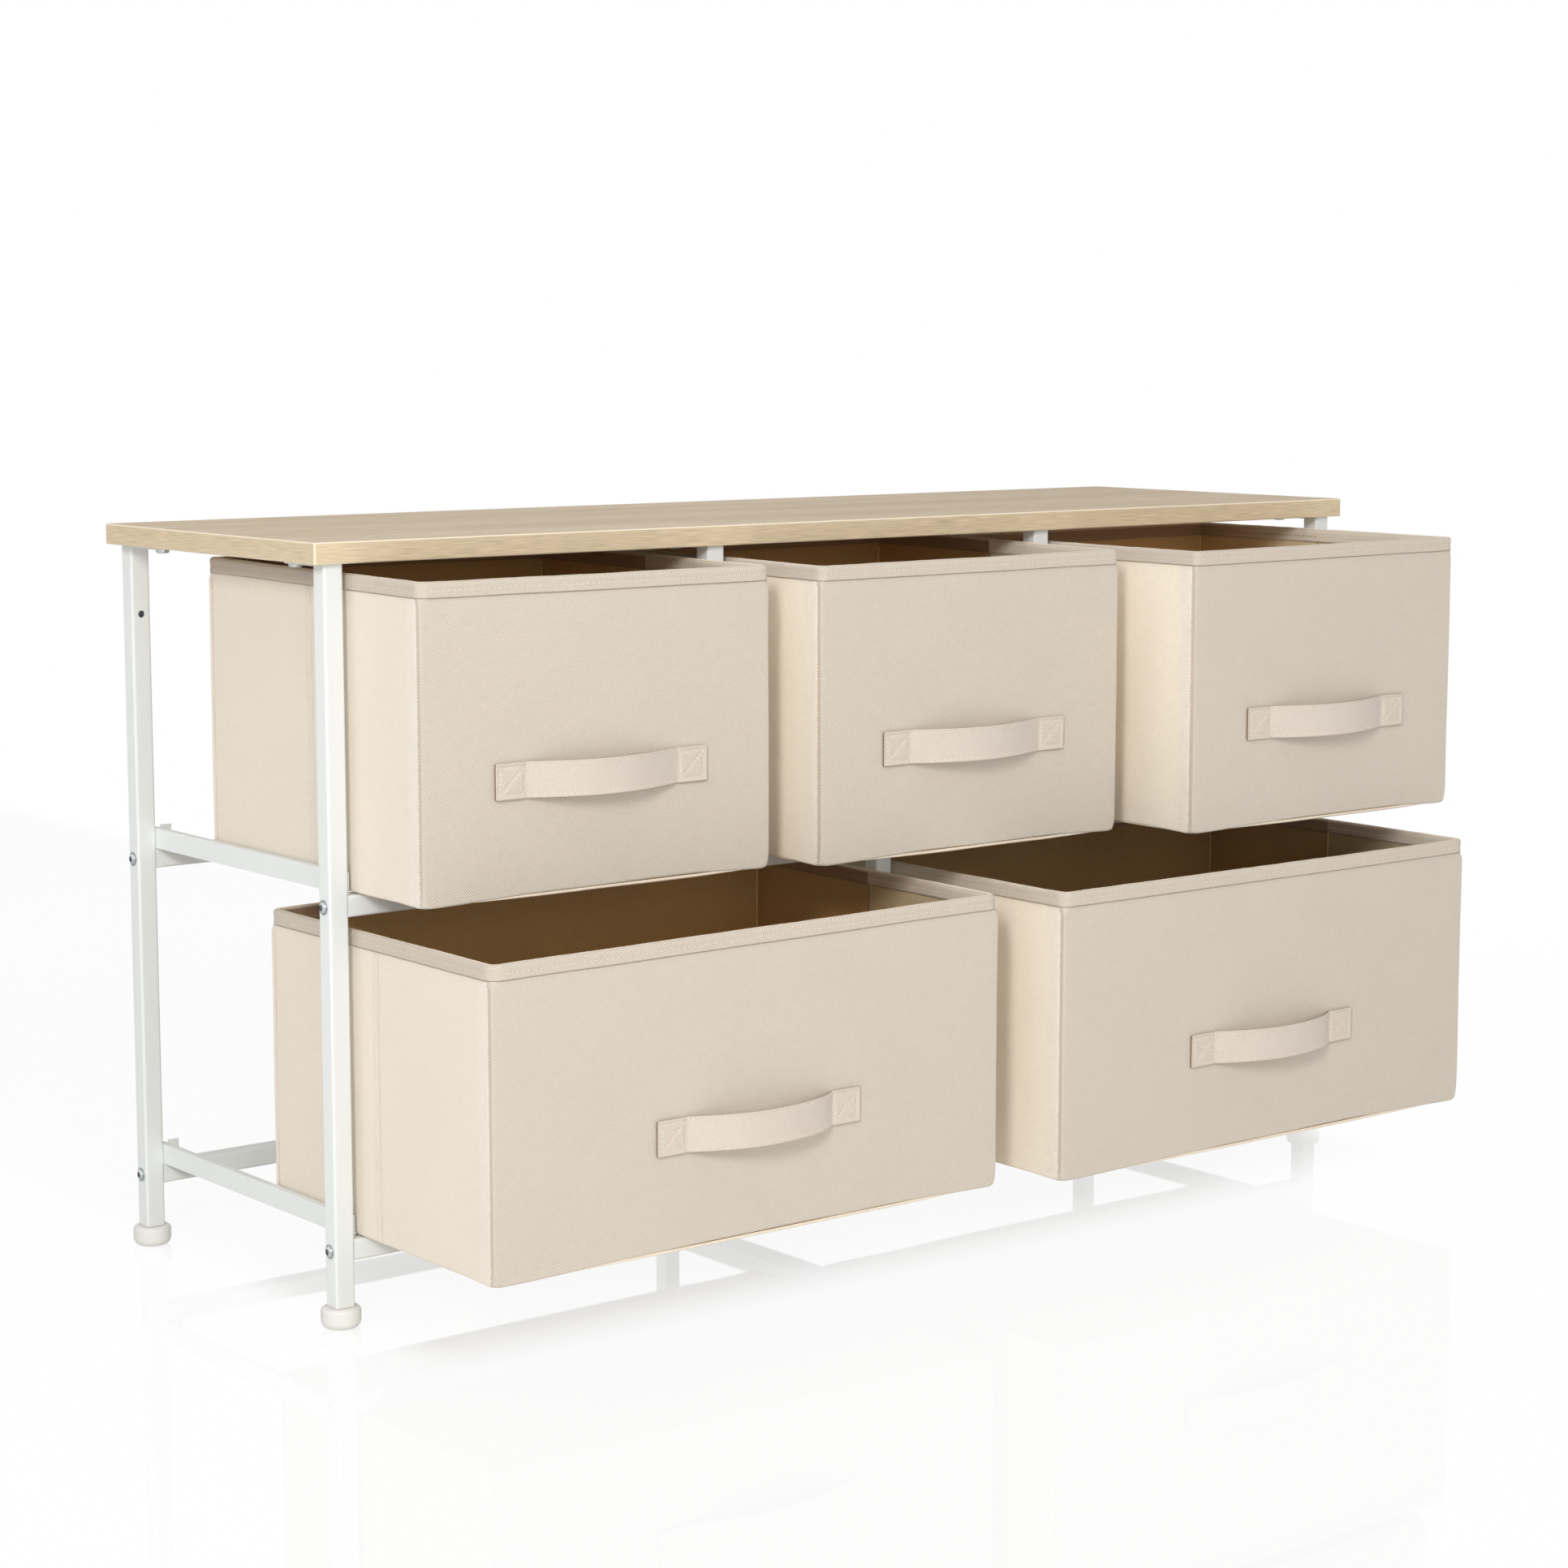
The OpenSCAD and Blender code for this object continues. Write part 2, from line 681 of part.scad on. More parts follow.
placed() stiffeners_lower_left();
placed() base_board_lower_left();
placed() hem_lower_left();
placed() handle_lower_left();
placed() drawer_lower_right();
placed() stiffeners_lower_right();
placed() base_board_lower_right();
placed() hem_lower_right();
placed() handle_lower_right();
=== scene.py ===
"""Looks of a fabric drawer dresser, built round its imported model.

Metres, +Z up, +X to the right as seen from the front. The drawers pull out towards -Y. Every piece is
modelled in place, so its object sits at the origin.
"""
import logging
import math
from dataclasses import dataclass
from enum import Enum
from typing import Callable, Mapping, Optional, Sequence, Union

import bmesh
import bpy
from mathutils import Matrix, Vector, noise
from mathutils.geometry import intersect_point_line


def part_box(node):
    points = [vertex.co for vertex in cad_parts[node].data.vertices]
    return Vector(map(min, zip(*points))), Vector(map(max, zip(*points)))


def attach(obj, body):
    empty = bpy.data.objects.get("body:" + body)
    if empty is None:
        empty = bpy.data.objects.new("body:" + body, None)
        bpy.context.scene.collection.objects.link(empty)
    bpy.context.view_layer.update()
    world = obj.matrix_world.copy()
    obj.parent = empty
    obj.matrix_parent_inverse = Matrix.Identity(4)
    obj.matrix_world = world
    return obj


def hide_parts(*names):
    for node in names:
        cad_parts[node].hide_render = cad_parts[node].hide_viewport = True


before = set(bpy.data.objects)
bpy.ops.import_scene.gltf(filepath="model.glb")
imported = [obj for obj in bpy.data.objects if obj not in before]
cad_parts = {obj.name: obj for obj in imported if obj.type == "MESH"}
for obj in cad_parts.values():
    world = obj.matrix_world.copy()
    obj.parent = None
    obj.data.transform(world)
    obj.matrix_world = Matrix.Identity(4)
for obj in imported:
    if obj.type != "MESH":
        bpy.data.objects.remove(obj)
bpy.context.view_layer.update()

MM = 0.001
CLOTH_MAP = "cloth"
BEHIND = "behind_front"
NEAR_AXIS = "near_axis"
FOLD = 141.5 * MM
WHITE = (1.0, 1.0, 1.0, 1.0)
log = logging.getLogger("dresser")

Colour = tuple[float, float, float, float]


def tone(red: float, green: float, blue: float) -> Colour:
    """Turns a colour as a screen shows it into the one that a shader takes.

    Args:
        red: red from 0 to 255.
        green: green from 0 to 255.
        blue: blue from 0 to 255.

    Returns:
        The linear colour, with full alpha.
    """

    def linear(value: float) -> float:
        """Undoes the screen's curve for one channel."""
        share = value / 255
        return share / 12.92 if share <= 0.04045 else ((share + 0.055) / 1.055) ** 2.4

    return linear(red), linear(green), linear(blue), 1.0


def ease(low: float, high: float, value: float) -> float:
    """Rises smoothly from 0 at low to 1 at high.

    Args:
        low: where the rise starts.
        high: where the rise ends; it may be less than low.
        value: where to look.

    Returns:
        The share of the rise, from 0 to 1.
    """
    share = min(max((value - low) / (high - low), 0.0), 1.0)
    return share * share * (3 - 2 * share)


def spread(first: float, last: float, count: int) -> list[float]:
    """Returns numbers from first to last, count equal steps apart."""
    return [first + (last - first) * step / count for step in range(count + 1)]


def peak(value: float, centre: float, width: float) -> float:
    """Returns 1 where value is at the centre, falling off to 0 on both sides of it."""
    return math.exp(-(((value - centre) / width) ** 2))


def arc(first: int, last: int, step: int) -> list[tuple[float, float, float]]:
    """Returns an angle in radians, its cosine and its sine for each step of degrees, last not included."""
    angles = [math.radians(turn) for turn in range(first, last, step)]
    return [(angle, math.cos(angle), math.sin(angle)) for angle in angles]


# ---- Node graphs ----


class Signal:
    """A number that varies over a surface. Python's operators on it add Math nodes."""

    def __init__(self, graph: "Graph", socket: bpy.types.NodeSocket) -> None:
        """Wraps an output socket.

        Args:
            graph: the graph that the socket is in.
            socket: the output socket that holds the number.
        """
        self.graph = graph
        self.socket = socket

    def math(self, operation: str, *terms: "Term") -> "Signal":
        """Adds a Math node.

        Args:
            operation: the node's operation.
            terms: the values or signals that it works on, in order.

        Returns:
            The node's result.
        """
        keys = ("Value", "Value_001", "Value_002")
        node = self.graph.add("ShaderNodeMath", {"operation": operation}, dict(zip(keys, terms)))
        return Signal(self.graph, node.outputs[0])

    def __add__(self, other: "Term") -> "Signal":
        """Returns self + other."""
        return self.math("ADD", self, other)

    def __radd__(self, other: "Term") -> "Signal":
        """Returns other + self."""
        return self.math("ADD", other, self)

    def __sub__(self, other: "Term") -> "Signal":
        """Returns self - other."""
        return self.math("SUBTRACT", self, other)

    def __rsub__(self, other: "Term") -> "Signal":
        """Returns other - self."""
        return self.math("SUBTRACT", other, self)

    def __mul__(self, other: "Term") -> "Signal":
        """Returns self * other."""
        return self.math("MULTIPLY", self, other)

    def __rmul__(self, other: "Term") -> "Signal":
        """Returns other * self."""
        return self.math("MULTIPLY", other, self)

    def __abs__(self) -> "Signal":
        """Returns the size of self without its sign."""
        return self.math("ABSOLUTE", self)

    def sine(self) -> "Signal":
        """Returns the sine of self, in radians."""
        return self.math("SINE", self)

    def root(self) -> "Signal":
        """Returns the square root of self."""
        return self.math("SQRT", self)

    def most(self, limit: float) -> "Signal":
        """Returns self, or limit where self is over it."""
        return self.math("MINIMUM", self, limit)

    def below(self, limit: float, soft: float) -> "Signal":
        """Returns 1 where self is under limit, falling to 0 over the width soft."""
        return self.rise(limit + soft, limit - soft)

    def rise(self, low: float, high: float) -> "Signal":
        """Adds a smooth rise.

        Args:
            low: where the result is 0.
            high: where it is 1; it may be less than low.

        Returns:
            The rise, from 0 to 1.
        """
        (start, first), (end, last) = sorted([(low, 0.0), (high, 1.0)])
        ends = {"From Min": start, "From Max": end, "To Min": first, "To Max": last}
        smooth = {"interpolation_type": "SMOOTHSTEP"}
        node = self.graph.add("ShaderNodeMapRange", smooth, {"Value": self, **ends})
        return Signal(self.graph, node.outputs[0])


Term = Union[Signal, float]
Feed = Union[Signal, bpy.types.NodeSocket, float, Sequence[float]]


class Graph:
    """The node tree of a material or of the world, filled a node at a time."""

    def __init__(self, tree: bpy.types.NodeTree) -> None:
        """Clears a tree.

        Args:
            tree: the tree to fill.
        """
        self.tree = tree
        tree.nodes.clear()

    def add(self, kind: str, settings: Optional[Mapping[str, object]] = None,
            inputs: Optional[Mapping[str, Feed]] = None) -> bpy.types.Node:
        """Adds a node.

        Args:
            kind: the node's type.
            settings: its own settings, set first.
            inputs: what feeds its sockets, by identifier or name.

        Returns:
            The node.
        """
        node = self.tree.nodes.new(kind)
        for name, value in (settings or {}).items():
            setattr(node, name, value)
        for name, value in (inputs or {}).items():
            self._feed(self._socket(node, name), value)
        return node

    @staticmethod
    def _socket(node: bpy.types.Node, name: str) -> bpy.types.NodeSocket:
        """Finds an input.

        Args:
            node: the node to look on.
            name: the socket's identifier, or its name.

        Returns:
            The input socket.
        """
        by_identifier = [s for s in node.inputs if s.identifier == name]
        by_name = [s for s in node.inputs if s.name == name and s.enabled]
        return (by_identifier or by_name)[0]

    def _feed(self, socket: bpy.types.NodeSocket, value: Feed) -> None:
        """Links or sets an input.

        Args:
            socket: the input socket.
            value: a signal, an output socket, a number or a list of numbers.
        """
        if isinstance(value, (Signal, bpy.types.NodeSocket)):
            self.tree.links.new(getattr(value, "socket", value), socket)
        elif socket.type == "VECTOR":
            socket.default_value = tuple(value)[:3]
        else:
            socket.default_value = value

    def place(self, stretch: Sequence[float] = (1.0, 1.0, 1.0)) -> bpy.types.NodeSocket:
        """Returns where a point is on the object, with each axis stretched."""
        place = self.add("ShaderNodeTexCoord").outputs["Object"]
        return self.add("ShaderNodeMapping", {}, {"Vector": place, "Scale": stretch}).outputs[0]

    def split(self, vector: bpy.types.NodeSocket) -> tuple[Signal, ...]:
        """Returns the three parts of a vector."""
        node = self.add("ShaderNodeSeparateXYZ", {}, {"Vector": vector})
        return tuple(Signal(self, socket) for socket in node.outputs)

    def join(self, x: Term, y: Term, z: Term = 0.0) -> bpy.types.NodeSocket:
        """Returns the vector of three numbers."""
        return self.add("ShaderNodeCombineXYZ", {}, {"X": x, "Y": y, "Z": z}).outputs[0]

    def cloth(self) -> tuple[Signal, Signal]:
        """Returns the distances along and up the cloth, in metres."""
        along, up, _ = self.split(self.add("ShaderNodeUVMap", {"uv_map": CLOTH_MAP}).outputs[0])
        return along, up

    def attribute(self, name: str) -> Signal:
        """Returns a number that the mesh holds at each point."""
        return Signal(self, self.add("ShaderNodeAttribute", {"attribute_name": name}).outputs["Fac"])

    def facing(self) -> tuple[Signal, ...]:
        """Returns the parts of the direction that the surface faces."""
        return self.split(self.add("ShaderNodeNewGeometry").outputs["True Normal"])

    def grain(self, vector: bpy.types.NodeSocket, scale: float, detail: float = 2.0,
              rough: float = 0.5) -> Signal:
        """Returns noise round 0.5.

        Args:
            vector: where to read it.
            scale: how fine it is, in cells per metre of the vector.
            detail: how many finer layers are added.
            rough: how strong the finer layers are.

        Returns:
            The noise, from 0 to 1.
        """
        settings = {"Vector": vector, "Scale": scale, "Detail": detail, "Roughness": rough}
        return Signal(self, self.add("ShaderNodeTexNoise", {}, settings).outputs[0])

    def speckle(self, scale: float, detail: float) -> Signal:
        """Returns noise round 0.5 all through the object, with so many cells per metre and finer layers."""
        return self.grain(self.place(), scale, detail)

    def blend(self, share: Term, first: Feed, second: Feed) -> bpy.types.NodeSocket:
        """Blends two colours.

        Args:
            share: 0 where the first colour shows and 1 where the second one does.
            first: the first colour.
            second: the second colour.

        Returns:
            The blend.
        """
        inputs = {"Factor_Float": share, "A_Color": first, "B_Color": second}
        node = self.add("ShaderNodeMix", {"data_type": "RGBA"}, inputs)
        return next(socket for socket in node.outputs if socket.identifier == "Result_Color")

    def lit(self, colour: Feed, strength: Signal) -> bpy.types.NodeSocket:
        """Returns a colour made lighter or darker by a signal round 1."""
        inputs = {"Vector": colour, "Scale": strength}
        return self.add("ShaderNodeVectorMath", {"operation": "SCALE"}, inputs).outputs[0]

    def rays(self, *kinds: str) -> list[Signal]:
        """Returns, for each kind of ray, 1 where the surface is seen by it."""
        path = self.add("ShaderNodeLightPath")
        return [Signal(self, path.outputs["Is %s Ray" % kind]) for kind in kinds]

    def white(self, kind: str, strength: float = 1.0) -> bpy.types.Node:
        """Adds a shader of the given kind that shines white."""
        return self.add(kind, {}, {"Color": WHITE, "Strength": strength})

    def mix(self, share: Term, first: bpy.types.Node, second: bpy.types.Node) -> bpy.types.Node:
        """Adds the first shader where share is 0, turning to the second where it is 1."""
        inputs = {"Fac": share, "Shader": first.outputs[0], "Shader_001": second.outputs[0]}
        return self.add("ShaderNodeMixShader", {}, inputs)

    def surface(self, colour: Feed, rough: Feed, height: Signal, depth: float, gloss: float = 0.5,
                sheen: float = 0.0, metal: float = 0.0) -> bpy.types.Node:
        """Adds the shader of a surface with small relief.

        Args:
            colour: its colour.
            rough: its roughness.
            height: its relief, from 0 to 1.
            depth: how deep the relief is from 0 to 1, in metres.
            gloss: how strongly it reflects.
            sheen: how much fine fuzz shows on it.
            metal: 1 for bare metal.

        Returns:
            The shader node.
        """
        relief = self.add("ShaderNodeBump", {}, {"Strength": 1.0, "Distance": depth, "Height": height})
        return self.add("ShaderNodeBsdfPrincipled", {}, {
            "Base Color": colour,
            "Roughness": rough,
            "Metallic": metal,
            "Specular IOR Level": gloss,
            "Sheen Weight": sheen,
            "Normal": relief.outputs[0],
        })


# ---- Finishes ----


@dataclass(frozen=True)
class Finish:
    """What a piece is dressed in: a name, and the record's slot that it belongs to."""

    name: str
    slot: str

    def material(self) -> bpy.types.Material:
        """Makes the finish's material where it isn't made yet.

        Returns:
            The material.
        """
        found = bpy.data.materials.get(self.name)
        if found:
            return found
        material = bpy.data.materials.new(self.name)
        material.use_nodes = True
        graph = Graph(material.node_tree)
        graph.add("ShaderNodeOutputMaterial", {}, {"Surface": self.draw(graph).outputs[0]})
        return material

    def draw(self, graph: Graph) -> bpy.types.Node:
        """Draws the finish's nodes.

        Args:
            graph: the graph to draw in.

        Returns:
            The shader node that ends them.
        """
        raise NotImplementedError


@dataclass(frozen=True)
class Twill(Finish):
    """Twill cloth with slanting ribs, laid by the piece's cloth map."""

    ridge: Colour
    groove: Colour
    rib: float = 1.75 * MM
    slant: float = 0.95
    thread_ratio: float = 1.12
    wander: float = 2.4
    contrast: float = 1.0
    slub: float = 0.1
    depth: float = 0.12 * MM
    gloss: float = 0.25
    sheen: float = 0.12

    def weave(self, graph: Graph, along: Signal, up: Signal) -> Signal:
        """Draws the ribs.

        Args:
            graph: the graph to draw in.
            along: the distance along the cloth.
            up: the distance up the cloth.

        Returns:
            The ribs' height, from 0 to 1.
        """
        turn = 2 * math.pi / self.rib
        wander = graph.grain(graph.join(along, up), 300.0) * self.wander
        ribs = ((along * self.slant + up) * turn + wander).sine()
        threads = ((along - up) * (turn * self.thread_ratio) + wander).sine()
        strength = graph.grain(graph.join(along * 1.4, up * 0.8), 110.0, 2.0).rise(0.25, 0.6) * 0.55 + 0.45
        return (ribs * 0.38 + threads * 0.07) * strength * self.contrast + 0.5

    def shade(self, graph: Graph, along: Signal, up: Signal) -> Signal:
        """Draws the uneven threads.

        Args:
            graph: the graph to draw in.
            along: the distance along the cloth.
            up: the distance up the cloth.

        Returns:
            A brightness round 1.
        """
        flat = graph.grain(graph.join(along * 90.0, up * 900.0), 1.0, 3.0, 0.6)
        tall = graph.grain(graph.join(along * 900.0, up * 90.0), 1.0, 3.0, 0.6)
        patches = graph.grain(graph.join(along, up), 14.0, 2.0)
        return 1.0 + (flat + tall - 1.0) * self.slub + (patches - 0.5) * (self.slub * 0.5)

    def draw(self, graph: Graph) -> bpy.types.Node:
        """Draws ribbed cloth.

        Args:
            graph: the graph to draw in.

        Returns:
            The shader node that ends the finish's nodes.
        """
        along, up = graph.cloth()
        ribs = self.weave(graph, along, up)
        colour = graph.lit(graph.blend(ribs, self.groove, self.ridge), self.shade(graph, along, up))
        return graph.surface(colour, 0.9 - ribs * 0.12, ribs, self.depth, self.gloss, self.sheen)


@dataclass(frozen=True)
class Daylight:
    """How far painted daylight reaches into an open drawer, as lighter colour on its cloth.

    It is full up to front, a distance behind the drawer's front, falls to the share at_fold where the sides
    fold, and ends at the distance dusk.
    """

    at_fold: float = 0.8
    dusk: float = FOLD + 1 * MM
    front: float = 15 * MM

    def share(self, graph: Graph) -> Signal:
        """Draws the share of daylight, which falls with the distance behind the drawer's front.

        Args:
            graph: the graph to draw in.

        Returns:
            The share, from 0 to 1.
        """
        behind = graph.attribute(BEHIND)
        # painted light: full near the front, falling to at_fold at the fold and to none from dusk on
        before = behind.rise(FOLD, self.front) * (1 - self.at_fold) + self.at_fold
        return before * behind.rise(self.dusk, FOLD)


@dataclass(frozen=True)
class InsideTwill(Twill):
    """The same cloth inside a drawer: painted shade darkens it towards the rim, and painted light makes it
    paler where daylight comes in.
    """

    # painted light and shade: the brightness of the whole inside
    level: float = 1.0
    daylight: Daylight = Daylight()
    rim: float = -215 * MM
    lit_from: float = -110 * MM
    fold_line: float = 0.6 * MM
    # tones of the painted daylight
    pale_ridge: Colour = tone(250, 236, 206)
    pale_groove: Colour = tone(206, 182, 140)

    def draw(self, graph: Graph) -> bpy.types.Node:
        """Draws the cloth, with a dark line in the fold.

        Args:
            graph: the graph to draw in.

        Returns:
            The shader node that ends the finish's nodes.
        """
        along, up = graph.cloth()
        ribs = self.weave(graph, along, up)
        rear = graph.blend(ribs, self.groove, self.ridge)
        pale = graph.blend(ribs, self.pale_groove, self.pale_ridge)
        in_fold = abs(graph.attribute(BEHIND) - FOLD).below(self.fold_line, 0.5 * MM)
        # painted light and shade: the daylight share blends the shaded rear tones to the daylit ones
        colour = graph.blend(self.daylight.share(graph), rear, pale)
        colour = graph.lit(colour, self.shade(graph, along, up) * (1.0 - in_fold * 0.6))
        return graph.surface(colour, 0.9 - ribs * 0.1, ribs, self.depth, self.gloss)

    def shade(self, graph: Graph, along: Signal, up: Signal) -> Signal:
        """Draws the uneven threads, with painted shade darkening them towards the rim and the drawer's
        painted level; see Twill.
        """
        # painted shade, darker towards the rim
        lit = up.rise(self.rim, self.lit_from) * 0.5 + 0.7
        return super().shade(graph, along, up) * lit * self.level


@dataclass(frozen=True)
class SideTwill(Twill):
    """The same cloth on a drawer's sides, drawn tight: its ribs show best at the front and on the fold. Its
    tones are painted lighter than the front's as painted light, and a painted highlight runs as a pale strip
    near the front.
    """

    # pale tone of the painted highlight near the front
    strip_colour: Colour = WHITE
    ground: float = 0.3
    strip: float = 17 * MM
    fold_half: float = 4.2 * MM

    def draw(self, graph: Graph) -> bpy.types.Node:
        """Draws the tight cloth.

        Args:
            graph: the graph to draw in.

        Returns:
            The shader node that ends the finish's nodes.
        """
        along, up = graph.cloth()
        behind = graph.attribute(BEHIND)
        near_front = behind.below(self.strip, 3 * MM)
        on_fold = abs(behind - FOLD).below(self.fold_half, 0.8 * MM)
        ribs = self.weave(graph, along, up)
        shown = near_front * 1.7 + on_fold * 2.6 + self.ground
        # painted highlight: a pale strip near the front
        base = graph.blend(near_front * 0.8, graph.blend(0.5, self.groove, self.ridge), self.strip_colour)
        colour = graph.lit(graph.lit(base, 1.0 + (ribs - 0.5) * shown * 0.3), self.shade(graph, along, up))
        return graph.surface(colour, 0.86, ribs * shown, self.depth, self.gloss, self.sheen)


@dataclass(frozen=True)
class Tape(Twill):
    """Herringbone tape: the ribs turn back part of the way up; the folded edge has a painted highlight, the
    lower edge a painted shadow, and the inner side painted light and shade.
    """

    daylight: Daylight = Daylight()
    sheen: float = 0.1
    turn_at: float = 5.6 * MM
    edge_at: float = 11.4 * MM
    inner_at: float = 13.0 * MM
    # pale tone of the painted highlight on the folded edge
    edge: Colour = tone(255, 241, 220)
    # dark tone of the painted shadow along the tape's lower edge
    under: Colour = tone(128, 112, 94)
    # pale and shaded tones of the painted light and shade on the inner side
    pale: Colour = tone(250, 240, 224)
    shaded: Colour = tone(136, 98, 58)

    def draw(self, graph: Graph) -> bpy.types.Node:
        """Draws the tape.

        Args:
            graph: the graph to draw in.

        Returns:
            The shader node that ends the finish's nodes.
        """
        along, up = graph.cloth()
        ribs = self.weave(graph, along, 0.0 - abs(up - self.turn_at))
        colour = graph.blend(ribs, self.groove, self.ridge)
        # painted highlight along the folded edge
        fold_highlight = abs(up - self.edge_at).below(0.8 * MM, 0.4 * MM)
        colour = graph.lit(graph.blend(fold_highlight * 0.7, colour, self.edge), self.shade(graph, along, up))
        # painted shadow under the tape's lower edge
        colour = graph.blend(up.below(0.35 * MM, 0.3 * MM) * 0.8, colour, self.under)
        # painted light and shade on the inner side, by the daylight share
        inner = up.rise(self.inner_at - 0.6 * MM, self.inner_at + 0.6 * MM)
        day = self.daylight.share(graph)
        night = inner * (1.0 - day)
        colour = graph.blend(inner * day * 0.5, colour, self.pale)
        colour = graph.lit(graph.blend(night * 0.8, colour, self.shaded), 1.0 - night * 0.1)
        return graph.surface(colour, 0.88, ribs, self.depth, self.gloss, self.sheen)


@dataclass(frozen=True)
class BoardCover(Finish):
    """Cloth stretched over a board, on a piece without a cloth map."""

    light: Colour
    dark: Colour
    rib: float = 1.6 * MM

    def draw(self, graph: Graph) -> bpy.types.Node:
        """Draws the stretched cloth.

        Args:
            graph: the graph to draw in.

        Returns:
            The shader node that ends the finish's nodes.
        """
        x, y, _ = graph.split(graph.place())
        turn = 2 * math.pi / self.rib
        ribs = ((x + y) * turn + graph.grain(graph.place(), 300.0) * 2.0).sine() * 0.5 + 0.5
        patches = graph.speckle(30.0, 4.0)
        colour = graph.lit(graph.blend(ribs, self.dark, self.light), 0.92 + patches * 0.16)
        return graph.surface(colour, 0.92 - ribs * 0.08, ribs, 0.1 * MM, gloss=0.25)


@dataclass(frozen=True)
class Oak(Finish):
    """Oak-grain laminate; the grain runs the board's length, and the rounded edges carry a painted highlight.
    """

    early: Colour
    late: Colour
    pore: Colour
    edge_highlight: Colour
    end_grain: Colour
    lo: Sequence[float]
    hi: Sequence[float]
    band: float = 0.9 * MM
    soft: float = 0.4 * MM

    def draw(self, graph: Graph) -> bpy.types.Node:
        """Draws the laminate.

        Args:
            graph: the graph to draw in.

        Returns:
            The shader node that ends the finish's nodes.
        """
        x, y, z = graph.split(graph.place())
        facing_x, _, facing_z = graph.facing()
        at_end = abs(facing_x).rise(0.6, 0.8)
        sides = facing_z.below(0.5, 0.2)
        run = x + at_end * (y - x)
        side = y + at_end * (x - y)

        def figure(lengthways: float, over: Signal, deep: float, layers: float, rough: float = 0.5) -> Signal:
            """Returns noise with so many cells along the grain, over it and in depth, per metre."""
            return graph.grain(graph.join(run * lengthways, over, z * deep), 1.0, layers, rough)

        warp = figure(2.2, side * 9.0, 9.0, 2.0)
        bands = figure(2.2, (side + warp * 0.03) * 26.0, 60.0, 4.0, 0.6)
        streaks = figure(46.0, side * 260.0, 2200.0, 1.0)
        strokes = figure(9.0, side * 55.0, 90.0, 2.0, 0.6).rise(0.66, 0.74)
        pores = figure(60.0, side * 1500.0, 1500.0, 1.0).rise(0.66, 0.8)
        colour = graph.blend(bands.rise(0.3, 0.7), self.early, self.late)
        colour = graph.blend(sides * 0.6, colour, self.end_grain)
        darker = (streaks - 0.5) * (0.24 + sides * 0.6) + strokes * (1.0 - sides) * 0.13
        colour = graph.blend(pores * 0.3, graph.lit(colour, 1.0 - darker), self.pore)
        # painted highlight: the rounded edges are blended towards a pale tone
        colour = graph.blend(self._edges(x, y, z), colour, self.edge_highlight)
        return graph.surface(colour, 0.5 + streaks * 0.12, streaks * 0.4 - pores, 0.05 * MM, gloss=0.22)

    def _edges(self, x: Signal, y: Signal, z: Signal) -> Signal:
        """Marks the rounded edges.

        Args:
            x: the place along the board.
            y: the place across it.
            z: the height.

        Returns:
            1 on the edges and 0 elsewhere.
        """
        gaps = (self.hi[0] - abs(x), self.hi[1] - y, y - self.lo[1], self.hi[2] - z, z - self.lo[2])
        end, front, back, top, under = (gap.below(self.band, self.soft) for gap in gaps)
        long = front + back
        return (end * long + (end + long) * (top + under * 0.5)).most(1.0) * 0.75


@dataclass(frozen=True)
class PowderCoat(Finish):
    """Satin powder coat: a fine orange-peel surface, with painted light making the tubes' left and right
    faces a little lighter.
    """

    colour: Colour

    def draw(self, graph: Graph) -> bpy.types.Node:
        """Draws the coat.

        Args:
            graph: the graph to draw in.

        Returns:
            The shader node that ends the finish's nodes.
        """
        peel = graph.speckle(900.0, 2.0)
        cloud = graph.speckle(12.0, 3.0)
        # painted light: faces that look left or right are made lighter
        at_side = abs(graph.facing()[0]).rise(0.5, 0.9)
        colour = graph.lit(self.colour, 0.935 + cloud * 0.03 + at_side * 0.11)
        return graph.surface(colour, 0.44 + peel * 0.08, peel, 0.03 * MM, gloss=0.35)


@dataclass(frozen=True)
class Plastic(Finish):
    """Moulded plastic with a fine spark-eroded surface."""

    colour: Colour

    def draw(self, graph: Graph) -> bpy.types.Node:
        """Draws the plastic.

        Args:
            graph: the graph to draw in.

        Returns:
            The shader node that ends the finish's nodes.
        """
        speckle = graph.speckle(1600.0, 1.0)
        cloud = graph.speckle(60.0, 2.0)
        colour = graph.lit(self.colour, 0.98 + cloud * 0.04)
        return graph.surface(colour, 0.42 + speckle * 0.12, speckle, 0.02 * MM)


@dataclass(frozen=True)
class Zinc(Finish):
    """Bright zinc plate with a faint bluish bloom; painted shade darkens the sockets and a ring round the
    heads' domes.
    """

    bright: Colour
    bloom: Colour

    def draw(self, graph: Graph) -> bpy.types.Node:
        """Draws the plating.

        Args:
            graph: the graph to draw in.

        Returns:
            The shader node that ends the finish's nodes.
        """
        cloud = graph.speckle(420.0, 3.0)
        scratches = graph.grain(graph.place((300.0, 300.0, 2600.0)), 1.0, 2.0)
        axis = graph.attribute(NEAR_AXIS)
        # painted shade: darker in the sockets and in a ring at the foot of each dome
        socket = axis.rise(0.54, 0.64)
        foot = abs(axis - 0.2).below(0.07, 0.05)
        worn = graph.blend(cloud.rise(0.4, 0.75), self.bright, self.bloom)
        colour = graph.lit(worn, 1.0 - socket * 0.72 - foot * 0.5)
        return graph.surface(colour, 0.2 + scratches * 0.16, scratches, 0.02 * MM, metal=1.0)


